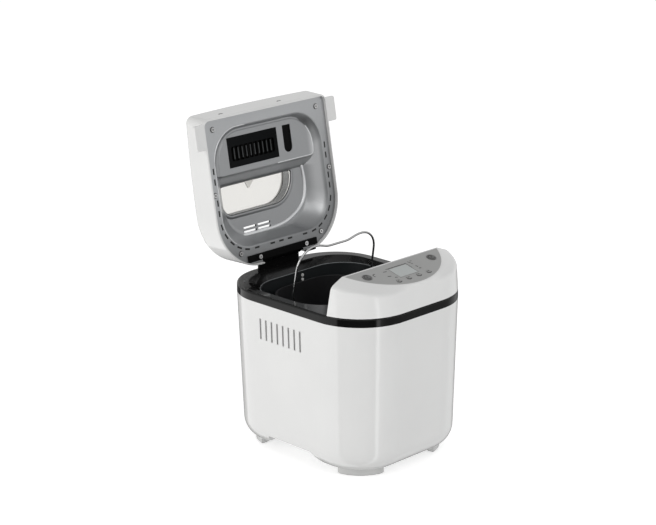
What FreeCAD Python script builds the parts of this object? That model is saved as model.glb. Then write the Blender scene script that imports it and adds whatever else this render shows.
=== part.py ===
import FreeCAD, Part
import math
import os
import re
import Sketcher
from types import SimpleNamespace

from FreeCAD import Placement, Rotation, Vector

# Driving sizes in millimetres and degrees. The housing frame has X to the right, Y to the rear and Z up;
# its Z axis runs through the middle of the housing and the floor lies at floor_level.
SIZES = {
    # Housing
    "body_width": 245, "body_depth": 293, "front_corner_r": 81, "rear_corner_r": 77,
    "wall": 2.5, "shell_top": 231, "draft_angle": 1.6, "rear_draft_angle": 2.4, "bottom_round": 30,
    "foot_height": 10.8, "arch_height": 12, "arch_front": -36, "arch_rear": 58, "arch_slope": 8,
    "notch_top": 30.5, "notch_front": -38, "notch_rear": 46, "notch_reach": 34, "notch_run": 1.2,
    "middle_shift": -31,
    "side_vents": 8, "side_vent_pitch": 11.35, "side_vent_length": 30, "side_vent_width": 2.5,
    "side_vent_z": 178, "side_vent_rear": 52.5,
    # Feet and base cover
    "floor_level": 3.5, "foot_inset": 24, "foot_width": 12, "foot_span": 69, "pad_thick": 1.5,
    "cover_width": 120, "cover_front": -26, "cover_rear": 48, "cover_lap": 7,
    # Collar around the oven opening
    "collar_height": 12.5, "collar_wall": 3, "collar_edge": 2.5, "collar_lip": 5,
    "mouth_side_room": 14.5, "mouth_front_room": 19, "mouth_rear_room": 20.5, "mouth_corner_r": 58,
    # Oven chamber
    "oven_side_room": 22, "oven_depth": 147, "oven_middle": 33.5, "oven_corner_r": 54,
    "oven_top": 236, "oven_floor": 72, "oven_sheet": 1, "oven_flange": 6,
    # Heating element
    "heater_r": 3.25, "heater_z": 96, "heater_side_room": 14.5, "heater_depth": 132, "heater_corner_r": 42,
    "heater_gap": 24, "heater_bend_r": 9, "heater_tail": 14, "insulator_r": 6, "insulator_length": 14,
    "insulator_lap": 2, "heater_clip_width": 8,
    # Bread pan
    "pan_side_room": 25.5, "pan_depth": 128, "pan_corner_r": 48, "pan_top": 224, "pan_floor": 92,
    "pan_wall": 1.5, "pan_draft": 2, "pan_round": 9, "rim_width": 2, "rim_height": 2.4,
    "skirt_r": 42, "skirt_wall": 2, "seat_thick": 2, "seat_r": 52, "seat_hole_r": 22,
    # Bail handle
    "bail_side_room": 5, "bail_height": 91, "bail_taper": 3, "bail_dip": 5.5, "bail_shoulder_run": 40,
    "bail_dip_run": 20, "bail_corner_r": 31, "bail_bend_r": 40, "bail_elbow_r": 3, "wire_r": 1.6,
    "bail_lean": 10, "bail_pivot_z": 216,
    "lug_width": 14, "lug_height": 18, "lug_thick": 1.6, "pin_gap": 0.06, "run_gap": 0.3,
    # Drive train
    "shaft_r": 4, "shaft_gap": 0.06, "shaft_bottom": 24, "bearing_r": 11, "bearing_bottom": 43,
    "bearing_flange_r": 20, "bearing_flange": 3, "coupling_r": 16, "coupling_thick": 4, "lug_rise": 7.5,
    "lug_depth": 5, "lug_span": 40, "dog_length": 30, "dog_width": 8, "dog_height": 7,
    "pulley_r": 46, "pulley_bottom": 28, "pulley_height": 12,
    "flange_rise": 2.5, "flange_thick": 1.5, "belt_thick": 3, "belt_width": 7,
    "bush_r": 9, "bush_flange_r": 14, "bush_flange": 2.5,
    "paddle_hub_r": 8.5, "paddle_hub_height": 27, "paddle_reach": 50, "paddle_height": 19,
    "paddle_thick": 4, "paddle_sweep": 16, "paddle_hub_round": 2.4, "pan_shaft_rise": 24,
    # Motor and chassis
    "chassis_z": 50, "chassis_thick": 2, "chassis_width": 136, "chassis_front": -118, "chassis_rear": 98,
    "boss_x": 55, "boss_front": -98, "boss_rear": 86, "boss_r": 7, "spacer_r": 6,
    "motor_x": 30, "motor_y": -84, "motor_r": 34, "motor_height": 72, "mount_height": 5, "mount_r": 6,
    "mount_circle_r": 26, "motor_shaft_r": 3, "motor_bore": 22, "motor_pulley_r": 9, "motor_hole_r": 9,
    # Boards
    "board_thick": 1.6, "power_board_width": 72, "power_board_height": 62, "power_board_x": -50,
    "power_board_y": -106, "bracket_thick": 1.5, "bracket_foot": 14, "standoff_inset": 5,
    # Console
    "console_inset": 0.3, "console_depth": 67.5, "console_lean": 9, "lid_lean": 11.2,
    "crease_back_z": 285.5, "crease_slope": 12, "crease_front_room": 3.5, "crease_low": 0.17,
    "crease_high": 0.34, "panel_depth": 60.5, "panel_top": 294,
    "panel_slope": 14, "panel_half": 93, "panel_sagitta": 57.5, "panel_margin": 2.5, "film_thick": 0.8,
    "fit_gap": 0.2, "big_key_r": 7, "big_key_u": 65, "big_key_v": 16, "small_key_r": 3.2, "small_key_v": 43,
    "small_key_pitch": 20, "key_travel": 1, "key_proud": 0.8, "key_gap": 0.3, "key_skirt": 1.4,
    "key_stem": 6, "display_width": 35, "display_depth": 24, "display_u": -2, "display_v": 25,
    "board_drop": 10, "control_board_width": 142, "control_board_depth": 38, "control_board_v": 26,
    "board_post_inset": 4, "module_margin": 0.5,
    # Lid, in its closed place
    "lid_rim_z": 245, "lid_side_height": 46.2, "lid_crown": 5, "lid_crown_y": 62, "lid_front_gap": 2,
    "lid_front_r": 11, "lid_rear_lean": 7.5,
    "lid_edge_round": 8, "lid_rim_chamfer": 1.2, "flange_sink": 4.5, "liner_sheet": 1.2,
    "recess_side_room": 16, "recess_front_room": 19, "recess_rear_room": 29.5, "recess_corner_r": 50,
    "recess_depth": 23.5, "recess_round": 9, "recess_rim_round": 2.5, "floor_side_room": 24.5,
    "floor_front_room": 12, "floor_rear_room": 12.7, "floor_corner_r": 48,
    "ledge_drop": 7, "ledge_side_room": 12, "ledge_front_room": 6, "ledge_rear": 9.5, "ledge_corner_r": 45,
    "ledge_ramp": 16, "ledge_rear_r": 5, "ledge_round": 2.5,
    "grille_left_room": 21, "grille_right": 24.5, "grille_front_room": 8.5, "grille_rear": 0.5,
    "grille_rim": 3, "grille_ribs": 10, "grille_rib": 2, "grille_deep": 5,
    "slot_left": 36.5, "slot_width": 16, "slot_front_room": 8.5, "slot_rear": -3,
    "window_left_room": 22.5, "window_right_room": 50, "window_front": 26, "window_rear_room": 33.8,
    "window_corner_r": 40, "window_near_r": 18, "window_small_r": 4, "window_lap": 4, "window_thick": 2.5,
    "duct_wall": 1.5,
    "steam_left": -49, "steam_length": 24, "steam_gap": 4, "steam_width": 2.6, "steam_rear_room": 11.3,
    "steam_pitch": 6,
    "dash_length": 8, "dash_width": 2.2, "dash_side_room": 11.5, "dash_rear_room": 26, "dash_corner_r": 55,
    "dash_start": -2, "dash_pitch": 15.2, "dash_turn": 14, "dash_turn_step": 16, "dash_rear_x": 17.5,
    "dash_rear_pitch": 31,
    "ear_reach": 16, "ear_front_room": 5.5, "ear_length": 36.5, "ear_thick": 4.5, "ear_round": 3,
    "lid_screw_front_room": 20, "lid_screw_front_inset": 16, "lid_screw_side_room": 8.5,
    "lid_screw_side_y": 32, "lid_screw_rear_room": 41.5, "lid_screw_rear_inset": 23,
    # Hinge
    "hinge_rear_room": 5.9, "hinge_z": 258.4, "open_angle": 99.9, "knuckle_r": 6, "hinge_pin_r": 2,
    "hinge_half": 40, "lid_knuckle_half": 17, "hinge_gap": 0.5, "plate_half": 69, "plate_front_room": 16.7,
    "plate_rear_room": 6.7, "plate_thick": 2, "plate_screw_x": 46.5, "notch_rise": 10, "web_inset": 4,
    "liner_notch_inset": 3.2,
    # Screws and small fittings
    "screw_r": 1.6, "screw_head_r": 3.2, "screw_head": 1.4, "screw_length": 9,
    "gland_r": 9, "gland_hole_r": 3.6, "gland_x": 40, "gland_z": 62, "gland_flange": 3,
    "rivet_r": 2.3, "rivet_head": 1.2, "rivet_x": 14.5, "rivet_z": 223, "rivet_pitch": 6.5,
    "sensor_width": 16, "sensor_height": 14, "sensor_deep": 8, "clip_width": 16, "clip_thick": 1,
    "clip_height": 14, "clip_gap": 0.4,
}

doc = FreeCAD.newDocument("bread_machine")
sheet = doc.addObject("Spreadsheet::Sheet", "sizes")
for row, (alias, value) in enumerate(SIZES.items(), start=1):
    sheet.set(f"A{row}", alias)
    sheet.set(f"B{row}", str(value))
    sheet.setAlias(f"B{row}", alias)
doc.recompute()
s = SimpleNamespace(**{alias: float(sheet.get(alias)) for alias in SIZES})

# Levels and lengths that follow from the driving sizes
half_width = s.body_width / 2
mouth_half = half_width - s.mouth_side_room
oven_right = half_width - s.oven_side_room
pan_half = oven_right - s.pan_side_room
bail_half = pan_half + s.bail_side_room
bail_shoulder = bail_half - s.bail_shoulder_run
recess_half = half_width - s.recess_side_room
floor_half = recess_half - s.floor_side_room
ledge_half = recess_half - s.ledge_side_room
grille_left = s.grille_left_room - ledge_half
dash_half = half_width - s.dash_side_room
front = -s.body_depth / 2
rear = s.body_depth / 2
console_back = front + s.console_depth
lid_front = console_back + s.lid_front_gap
ear_front = lid_front + s.ear_front_room
mouth_front = console_back + s.mouth_front_room
mouth_rear = rear - s.mouth_rear_room
recess_front = lid_front + s.recess_front_room
recess_rear = rear - s.recess_rear_room
floor_front = recess_front + s.floor_front_room
floor_rear = recess_rear - s.floor_rear_room
ledge_front = recess_front + s.ledge_front_room
grille_front = ledge_front + s.grille_front_room
slot_front = ledge_front + s.slot_front_room
window_rear = floor_rear - s.window_rear_room
steam_y = floor_rear - s.steam_rear_room
dash_rear = rear - s.dash_rear_room
hinge_y = rear - s.hinge_rear_room
plate_front = rear - s.plate_front_room
plate_rear = rear - s.plate_rear_room
draft = math.tan(math.radians(s.draft_angle))
rear_draft = math.tan(math.radians(s.rear_draft_angle))
collar_top = s.shell_top + s.collar_height
lid_top = s.lid_rim_z + s.lid_side_height
flange_z = s.lid_rim_z + s.flange_sink
liner_floor = flange_z + s.recess_depth
oven_inside = s.oven_floor + s.oven_sheet
seat_top = oven_inside + s.seat_thick
coupling_top = seat_top + s.run_gap + s.coupling_thick
dog_bottom = coupling_top + s.run_gap
hub_bottom = s.pan_floor + s.pan_wall + s.bush_flange + s.run_gap
shaft_top = hub_bottom + s.pan_shaft_rise - s.run_gap
arch_top = s.foot_height + s.arch_height
UP = Vector(0, 0, 1)
TURN_X = Vector(1, 0, 0)
TO_REAR = Vector(0, 1, 0)

housing_place = Placement(Vector(0, s.middle_shift, -s.floor_level), Rotation())
lid_turn = Placement(Vector(), Rotation(TURN_X, -s.open_angle), Vector(0, hinge_y, s.hinge_z))
lid_place = housing_place * lid_turn
panel_local = Placement(Vector(0, front + s.panel_depth, s.panel_top), Rotation(TURN_X, s.panel_slope))
panel_place = housing_place * panel_local
nodes = []


def cells(text):
    """An expression in which each name is a cell of the sheet."""
    return re.sub(r"[a-z]\w+", lambda name: "sizes." + name.group(0), text)


def bound(kind, name, sizes, at=("0", "0", "0"), turn=None):
    """A primitive whose sizes and place follow the sheet."""
    piece = doc.addObject(kind, name)
    if turn is not None:
        piece.Placement = Placement(Vector(), turn)
    for prop, text in sizes.items():
        piece.setExpression(prop, cells(text))
    for axis, text in zip("xyz", at):
        piece.setExpression(f"Placement.Base.{axis}", cells(text))
    return piece


def cylinder(name, radius, height, at, turn=None):
    return bound("Part::Cylinder", name, {"Radius": radius, "Height": height}, at, turn)


def block(name, length, width, height, at, turn=None):
    return bound("Part::Box", name, {"Length": length, "Width": width, "Height": height}, at, turn)


def fuse(name, pieces):
    joined = doc.addObject("Part::MultiFuse", name)
    joined.Shapes = pieces
    return joined


def cut(name, base, tools):
    """The base less one or more tools."""
    result = doc.addObject("Part::Cut", name)
    result.Base = base
    result.Tool = tools[0] if len(tools) == 1 else fuse(name + "_tools", tools)
    return result


def group(name, pieces):
    held = doc.addObject("Part::Compound", name)
    held.Links = pieces
    return held


def node(label, source, place=housing_place):
    """Name a sub-part and set it in its frame; a lone primitive is held in a group first."""
    if source.TypeId in ("Part::Cylinder", "Part::Box"):
        source = group(label + "_held", [source])
    source.Label = label
    source.Placement = place
    nodes.append(source)
    return source


def solid(label, shape, place=housing_place):
    """A sub-part whose shape is worked out from the sheet's values."""
    feature = doc.addObject("Part::Feature", label + "_shape")
    feature.Shape = shape.removeSplitter() if shape.ShapeType == "Solid" else shape
    return node(label, feature, place)


def one(shape):
    """The single solid of a boolean result."""
    return shape.Solids[0] if len(shape.Solids) == 1 else shape


def line(a, b):
    return Part.LineSegment(a, b).toShape()


def arc(a, middle, b):
    return Part.Arc(a, middle, b).toShape()


def outline(half, y_front, y_rear, r_front, r_rear, z=0.0):
    """A rounded rectangle about the YZ plane at height z."""
    edges = []
    corners = [
        (half, y_front, r_front, -90), (half, y_rear, r_rear, 0),
        (-half, y_rear, r_rear, 90), (-half, y_front, r_front, 180),
    ]
    ends = []
    for x, y, r, start in corners:
        centre = Vector(x - math.copysign(r, x), y + r if y == y_front else y - r, z)
        points = []
        for angle in (start, start + 45, start + 90):
            turn = math.radians(angle)
            points.append(centre + Vector(r * math.cos(turn), r * math.sin(turn), 0))
        ends.append(points)
    for here, after in zip(ends, ends[1:] + ends[:1]):
        edges.append(arc(*here))
        if here[2].distanceToPoint(after[0]) > 1e-6:
            edges.append(line(here[2], after[0]))
    return Part.Wire(edges)


def prism(wire, height):
    return Part.Face(wire).extrude(Vector(0, 0, height))


def loft(*wires):
    return Part.makeLoft(list(wires), True, True)


def rod(path, radius):
    """A round bar along a path of straight runs and tangent arcs."""
    first = path.Edges[0]
    start = first.valueAt(first.FirstParameter)
    along = first.tangentAt(first.FirstParameter)
    ring = Part.Wire([Part.makeCircle(radius, start, along)])
    return path.makePipeShell([ring], True, False)


def rounded_path(points, radii):
    """Straight runs through the points, each inner corner rounded to its radius."""
    edges = []
    here = points[0]
    for before, corner, after, radius in zip(points, points[1:], points[2:], radii):
        back = (before - corner).normalize()
        onward = (after - corner).normalize()
        half_angle = back.getAngle(onward) / 2
        reach = radius / math.tan(half_angle)
        bisector = (back + onward).normalize()
        enter = corner + back * reach
        leave = corner + onward * reach
        middle = corner + bisector * (radius / math.sin(half_angle) - radius)
        edges.append(line(here, enter))
        edges.append(arc(enter, middle, leave))
        here = leave
    edges.append(line(here, points[-1]))
    return Part.Wire(edges)


def screw(at, direction):
    """A pan-head screw with its head's underside at a point and its shank along a direction."""
    shank = Part.makeCylinder(s.screw_r, s.screw_length, at, direction)
    head = Part.makeCylinder(s.screw_head_r, s.screw_head, at - direction * s.screw_head, direction)
    return shank.fuse(head).removeSplitter().Solids[0]


def body_outline(inset, z):
    """The housing's plan outline, drawn in by an inset."""
    return outline(
        half_width - inset, front + inset, rear - inset,
        s.front_corner_r - inset, s.rear_corner_r - inset, z,
    )


def edges_at(shape, z):
    """The edges that lie wholly at one height."""
    near = 1e-3
    return [e for e in shape.Edges if abs(e.BoundBox.ZMin - z) < near and abs(e.BoundBox.ZMax - z) < near]


# Housing: a drafted tub with a rounded bottom edge, arched up between the feet on both sides

def tub_outline(inset, z):
    drawn = inset + (s.shell_top - z) * draft
    y_rear = rear - inset - (s.shell_top - z) * rear_draft
    return outline(
        half_width - drawn, front + drawn, y_rear, s.front_corner_r - drawn, s.rear_corner_r - drawn, z
    )


def tub(inset, z_bottom, z_top):
    shape = loft(tub_outline(inset, z_bottom), tub_outline(inset, z_top))
    return shape.makeFillet(s.bottom_round - inset, edges_at(shape, z_bottom))


def arch(grow):
    """The raised channel under the tub, grown by a wall."""
    run = s.arch_slope / s.arch_height
    top = arch_top + grow
    reach = run * top
    x = -s.body_width
    y_front = s.arch_front - grow
    y_rear = s.arch_rear + grow
    corners = [
        Vector(x, y_front - reach, 0), Vector(x, y_front, top),
        Vector(x, y_rear, top), Vector(x, y_rear + reach, 0),
    ]
    wire = Part.makePolygon(corners + corners[:1])
    return Part.Face(wire).extrude(Vector(2 * s.body_width, 0, 0))


def side_notches(grow):
    """The higher cut-outs under both sides, grown by a wall."""
    top = s.notch_top + grow
    y_front = s.notch_front - grow
    y_rear = s.notch_rear + grow
    corners = [
        Vector(0, y_front - s.notch_run * top, 0), Vector(0, y_front, top),
        Vector(0, y_rear, top), Vector(0, y_rear + s.arch_slope, 0),
    ]
    profile = Part.Face(Part.makePolygon(corners + corners[:1]))
    reach = s.notch_reach + grow
    notches = []
    for x_low, x_high in ((-s.body_width, reach - half_width), (half_width - reach, s.body_width)):
        bar = profile.extrude(Vector(x_high - x_low, 0, 0))
        bar.translate(Vector(x_low, 0, 0))
        notches.append(bar)
    return notches


def side_vents():
    slots = []
    for i in range(int(s.side_vents)):
        y = s.side_vent_rear - i * s.side_vent_pitch - s.side_vent_width / 2
        low = Vector(-s.body_width, y, s.side_vent_z)
        slots.append(Part.makeBox(2 * s.body_width, s.side_vent_width, s.side_vent_length, low))
    return slots


def sector(centre, r_outer, r_inner, start, span, z, height):
    """Part of a ring about a vertical axis."""
    disc = Part.makeCylinder(r_outer, height, centre + UP * z, UP, span)
    core = Part.makeCylinder(r_inner, height, centre + UP * z, UP)
    disc.rotate(centre, UP, start)
    return one(disc.cut(core))


boss_places = [(x, y) for x in (-s.boss_x, s.boss_x) for y in (s.boss_front, s.boss_rear)]
cover_points = [
    Vector(x, y, arch_top - s.wall)
    for x in (-s.cover_width / 2 + s.cover_lap / 2, s.cover_width / 2 - s.cover_lap / 2)
    for y in (s.cover_front + s.cover_lap / 2, s.cover_rear - s.cover_lap / 2)
]
cover_opening = Part.makeBox(
    s.cover_width - 2 * s.cover_lap, s.cover_rear - s.cover_front - 2 * s.cover_lap, s.chassis_z,
    Vector(-s.cover_width / 2 + s.cover_lap, s.cover_front + s.cover_lap, 0),
)
shell = tub(0, s.foot_height, s.shell_top).cut([arch(0)] + side_notches(0))
inside = tub(s.wall, s.foot_height + s.wall, s.shell_top + s.wall)
shell = shell.cut(inside.cut([arch(s.wall)] + side_notches(s.wall)))
boss_bottom = s.foot_height + s.wall / 2
boss_height = s.chassis_z - boss_bottom
boss_feet = [Vector(x, y, boss_bottom) for x, y in boss_places]
shell = shell.fuse([Part.makeCylinder(s.boss_r, boss_height, point) for point in boss_feet])
pilots = [
    Part.makeCylinder(s.screw_r, s.screw_length, Vector(x, y, s.chassis_z + s.chassis_thick), -UP)
    for x, y in boss_places
]
pilots += [Part.makeCylinder(s.screw_r, s.screw_length, point) for point in cover_points]
gland_hole = Part.makeCylinder(s.gland_r, rear, Vector(s.gland_x, rear / 2, s.gland_z), TO_REAR)
solid("housing_shell", one(shell.cut(side_vents() + pilots + [cover_opening, gland_hole])))

# Base cover under the service opening, screwed up into the arch
cover_z = "foot_height + arch_height - wall"
cover_holes = []
for i, x in enumerate(("-cover_width / 2 + cover_lap / 2", "cover_width / 2 - cover_lap / 2")):
    for j, y in enumerate(("cover_front + cover_lap / 2", "cover_rear - cover_lap / 2")):
        cover_holes.append(cylinder(f"cover_hole_{i}{j}", "screw_r", "wall", (x, y, cover_z)))
cover_plate = block(
    "cover_plate", "cover_width", "cover_rear - cover_front", "wall",
    ("-cover_width / 2", "cover_front", cover_z),
)
node("base_cover", cut("cover_cut", cover_plate, cover_holes))
body_screws = [screw(point, UP) for point in cover_points]
body_screws += [screw(Vector(x, y, s.chassis_z + s.chassis_thick), -UP) for x, y in boss_places]
solid("body_screws", Part.makeCompound(body_screws))

# Four feet, each an arc about the centre of a housing corner, with a rubber pad under it
foot_corners = [
    (half_width - s.front_corner_r, front + s.front_corner_r, s.front_corner_r, -45),
    (half_width - s.rear_corner_r, rear - s.rear_corner_r, s.rear_corner_r, 45),
    (s.rear_corner_r - half_width, rear - s.rear_corner_r, s.rear_corner_r, 135),
    (s.front_corner_r - half_width, front + s.front_corner_r, s.front_corner_r, 225),
]
foot_blocks = []
pad_blocks = []
for x, y, corner_r, angle in foot_corners:
    centre = Vector(x, y, 0)
    outer = corner_r - s.foot_inset
    inner = outer - s.foot_width
    start = angle - s.foot_span / 2
    pad_top = s.floor_level + s.pad_thick
    foot = sector(centre, outer, inner, start, s.foot_span, pad_top, s.bottom_round)
    foot_blocks.append(one(foot.cut(tub(0, s.foot_height, s.shell_top))))
    edge = s.pad_thick
    span = s.foot_span - 2 * edge
    pad = sector(centre, outer - edge, inner + edge, start + edge, span, s.floor_level, s.pad_thick)
    pad_blocks.append(pad)
solid("feet", Part.makeCompound(foot_blocks))
solid("foot_pads", Part.makeCompound(pad_blocks))

# Collar: the black rim on top of the housing, with a funnel down to the oven chamber

def oven_outline(grow, z):
    return outline(
        oven_right + grow, s.oven_middle - s.oven_depth / 2 - grow,
        s.oven_middle + s.oven_depth / 2 + grow, s.oven_corner_r + grow, s.oven_corner_r + grow, z,
    )


def mouth_outline(grow, z):
    return outline(
        mouth_half + grow, mouth_front - grow, mouth_rear + grow,
        s.mouth_corner_r + grow, s.mouth_corner_r + grow, z,
    )


rim = prism(body_outline(0, s.shell_top), s.collar_height)
rim = rim.makeFillet(s.collar_edge, edges_at(rim, collar_top))
hollow = prism(body_outline(s.collar_wall, s.shell_top), s.collar_height - s.collar_wall)
lip_out = prism(body_outline(s.wall + s.fit_gap, s.shell_top - s.collar_lip), s.collar_lip)
lip_in = prism(body_outline(2 * s.wall, s.shell_top - s.collar_lip), s.collar_lip)
funnel = loft(oven_outline(s.wall, s.oven_top), mouth_outline(s.wall, collar_top))
throat = loft(oven_outline(0, s.oven_top), mouth_outline(0, collar_top))
collar = rim.cut(hollow).fuse([lip_out.cut(lip_in), funnel]).cut(throat)
solid("collar", one(collar))

# Oven chamber with its flange, floor hole and holes for the heater tails
oven_back = s.oven_middle + s.oven_depth / 2
chamber = prism(oven_outline(s.oven_sheet, s.oven_floor), s.oven_top - s.oven_floor)
flange = prism(oven_outline(s.oven_flange, s.oven_top - s.oven_sheet), s.oven_sheet)
chamber = chamber.fuse(flange).cut(prism(oven_outline(0, oven_inside), s.oven_top - s.oven_floor))
tail_y = [s.oven_middle - s.heater_gap / 2, s.oven_middle + s.heater_gap / 2]
tail_points = [Vector(oven_right - s.insulator_r, y, s.heater_z) for y in tail_y]
tail_holes = [Part.makeCylinder(s.insulator_r, s.insulator_length, point, TURN_X) for point in tail_points]
bearing_hole = Part.makeCylinder(s.bearing_r + s.run_gap, s.oven_floor, Vector(0, s.oven_middle, s.chassis_z))
rivet_points = [Vector(s.rivet_x, oven_back, s.rivet_z + i * s.rivet_pitch) for i in range(2)]
rivet_holes = [Part.makeCylinder(s.rivet_r / 2, s.oven_sheet, point, TO_REAR) for point in rivet_points]
solid("oven_chamber", one(chamber.cut(tail_holes + rivet_holes + [bearing_hole])))
rivets = []
for point in rivet_points:
    shank = Part.makeCylinder(s.rivet_r / 2, s.oven_sheet, point, TO_REAR)
    head = Part.makeCylinder(s.rivet_r, s.rivet_head, point, Vector(0, -1, 0))
    rivets.append(shank.fuse(head).removeSplitter().Solids[0])
solid("sensor_rivets", Part.makeCompound(rivets))
node(
    "temperature_sensor",
    block(
        "sensor_box", "sensor_width", "sensor_deep", "sensor_height",
        ("rivet_x - sensor_width / 2", "oven_middle + oven_depth / 2 + oven_sheet",
         "rivet_z + rivet_pitch / 2 - sensor_height / 2"),
    ),
)

# Heating element: one bent tube whose two tails leave through the right wall
heat_x = oven_right - s.heater_side_room
heat_front = s.oven_middle - s.heater_depth / 2
heat_rear = s.oven_middle + s.heater_depth / 2
tail_x = oven_right + s.heater_tail
heat_points = [
    Vector(tail_x, tail_y[0], s.heater_z), Vector(heat_x, tail_y[0], s.heater_z),
    Vector(heat_x, heat_front, s.heater_z), Vector(-heat_x, heat_front, s.heater_z),
    Vector(-heat_x, heat_rear, s.heater_z), Vector(heat_x, heat_rear, s.heater_z),
    Vector(heat_x, tail_y[1], s.heater_z), Vector(tail_x, tail_y[1], s.heater_z),
]
heat_radii = [s.heater_bend_r] + [s.heater_corner_r] * 4 + [s.heater_bend_r]
solid("heating_element", rod(rounded_path(heat_points, heat_radii), s.heater_r))
insulators = []
for y in tail_y:
    bush_at = Vector(oven_right - s.insulator_lap, y, s.heater_z)
    bush = Part.makeCylinder(s.insulator_r, s.insulator_length, bush_at, TURN_X)
    shoulder_at = Vector(oven_right + s.oven_sheet, y, s.heater_z)
    shoulder = Part.makeCylinder(s.insulator_r + s.insulator_lap, s.insulator_lap, shoulder_at, TURN_X)
    bore_at = Vector(oven_right - s.insulator_length, y, s.heater_z)
    bore = Part.makeCylinder(s.heater_r + s.pin_gap, 2 * s.insulator_length, bore_at, TURN_X)
    insulators.append(one(bush.fuse(shoulder).cut(bore)))
solid("heater_insulators", Part.makeCompound(insulators))
clips = []
reach = oven_right - heat_x
clip_span = s.heater_clip_width
clip_low = s.heater_z - s.heater_r / 2
side_y = s.oven_middle - clip_span / 2
side_clip = Part.makeBox(reach, clip_span, s.heater_r, Vector(-oven_right, side_y, clip_low))
side_bore = Part.makeCylinder(
    s.heater_r + s.pin_gap, clip_span, Vector(-heat_x, side_y, s.heater_z), Vector(0, 1, 0)
)
clips.append(one(side_clip.cut(side_bore)))
reach = s.oven_depth / 2 - s.heater_depth / 2
for y_low, y_tube in (
    (s.oven_middle - s.oven_depth / 2, heat_front),
    (oven_back - reach, heat_rear),
):
    clip_x = -clip_span / 2
    clip = Part.makeBox(clip_span, reach, s.heater_r, Vector(clip_x, y_low, clip_low))
    bore = Part.makeCylinder(s.heater_r + s.pin_gap, clip_span, Vector(clip_x, y_tube, s.heater_z), TURN_X)
    clips.append(one(clip.cut(bore)))
solid("heater_clips", Part.makeCompound(clips))

# Chassis plate on the housing bosses, and the spacers that carry the oven chamber
chassis_holes = [
    cylinder("bearing_seat", "bearing_r", "chassis_thick", ("0", "oven_middle", "chassis_z")),
    cylinder("motor_hole", "motor_hole_r", "chassis_thick", ("motor_x", "motor_y", "chassis_z")),
]
for i, x in enumerate(("-boss_x", "boss_x")):
    for j, y in enumerate(("boss_front", "boss_rear")):
        hole_at = (x, y, "chassis_z")
        chassis_holes.append(cylinder(f"chassis_hole_{i}{j}", "screw_r", "chassis_thick", hole_at))
chassis_plate = block(
    "chassis_block", "chassis_width", "chassis_rear - chassis_front", "chassis_thick",
    ("-chassis_width / 2", "chassis_front", "chassis_z"),
)
node("chassis_plate", cut("chassis_cut", chassis_plate, chassis_holes))
spacers = []
for i, x in enumerate(("-boss_x + spacer_r", "boss_x - spacer_r")):
    for j, y in enumerate(("-oven_middle / 3", "boss_rear - 2 * spacer_r")):
        spacers.append(
            cylinder(
                f"spacer_{i}{j}", "spacer_r", "oven_floor - chassis_z - chassis_thick",
                (x, y, "chassis_z + chassis_thick"),
            )
        )
node("chamber_spacers", group("spacer_group", spacers))

# Seat and spring clips that hold the pan on the chamber floor
seat_z = "oven_floor + oven_sheet"
seat_disc = cylinder("seat_disc", "seat_r", "seat_thick", ("0", "oven_middle", seat_z))
seat_hole = cylinder("seat_hole", "seat_hole_r", "seat_thick", ("0", "oven_middle", seat_z))
node("pan_seat", cut("seat_cut", seat_disc, [seat_hole]))
clip_z = "oven_floor + oven_sheet + seat_thick"
clip_parts = []
for side, x_leaf, x_foot in (
    ("right", "skirt_r + clip_gap", "skirt_r + clip_gap"),
    ("left", "-skirt_r - clip_gap - clip_thick", "-seat_r"),
):
    clip_y = "oven_middle - clip_width / 2"
    leaf = block(f"clip_leaf_{side}", "clip_thick", "clip_width", "clip_height", (x_leaf, clip_y, clip_z))
    foot_reach = "seat_r - skirt_r - clip_gap"
    foot = block(f"clip_foot_{side}", foot_reach, "clip_width", "clip_thick", (x_foot, clip_y, clip_z))
    clip_parts.append(fuse(f"clip_{side}", [leaf, foot]))
node("pan_clips", group("clip_group", clip_parts))

# Bread pan with its rim, base ring and bail brackets
pan_slope = math.tan(math.radians(s.pan_draft))


def pan_outline(inset, z):
    total = inset + (s.pan_top - z) * pan_slope
    half_depth = s.pan_depth / 2 - total
    corner = s.pan_corner_r - total
    return outline(
        pan_half - total, s.oven_middle - half_depth, s.oven_middle + half_depth, corner, corner, z
    )


def pan_block(inset, z_bottom):
    shape = loft(pan_outline(inset, z_bottom), pan_outline(inset, s.pan_top))
    return shape.makeFillet(s.pan_round - inset, edges_at(shape, z_bottom))


bead = prism(pan_outline(-s.rim_width, s.pan_top - s.rim_height), s.rim_height)
bead = bead.makeFillet(s.rim_height / 3, edges_at(bead, s.pan_top) + edges_at(bead, s.pan_top - s.rim_height))
pan = pan_block(0, s.pan_floor).fuse(bead).cut(pan_block(s.pan_wall, s.pan_floor + s.pan_wall))
bush_hole = Part.makeCylinder(s.bush_r, s.pan_round, Vector(0, s.oven_middle, s.pan_floor - s.pan_wall))
solid("bread_pan", one(pan.cut(bush_hole)))
skirt_z = "oven_floor + oven_sheet + seat_thick"
skirt_height = "pan_floor - oven_floor - oven_sheet - seat_thick"
skirt_out = cylinder("skirt_out", "skirt_r", skirt_height, ("0", "oven_middle", skirt_z))
skirt_in = cylinder("skirt_in", "skirt_r - skirt_wall", skirt_height, ("0", "oven_middle", skirt_z))
node("pan_base_ring", cut("skirt_cut", skirt_out, [skirt_in]))

lug_x = pan_half
lug_top = s.pan_top - s.rim_height
brackets = []
for side in (-1, 1):
    x = lug_x if side > 0 else -lug_x - s.lug_thick
    ear = Part.makeBox(
        s.lug_thick + s.wall, s.lug_width, s.lug_height,
        Vector(x - (s.wall if side > 0 else 0), s.oven_middle - s.lug_width / 2, lug_top - s.lug_height),
    )
    ear = ear.cut(pan_block(0, s.pan_floor))
    hole = Part.makeCylinder(
        s.wire_r + s.pin_gap, 4 * s.lug_thick, Vector(x - s.lug_thick, s.oven_middle, s.bail_pivot_z), TURN_X
    )
    brackets.append(one(ear.cut(hole)))
solid("bail_brackets", Part.makeCompound(brackets))

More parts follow.
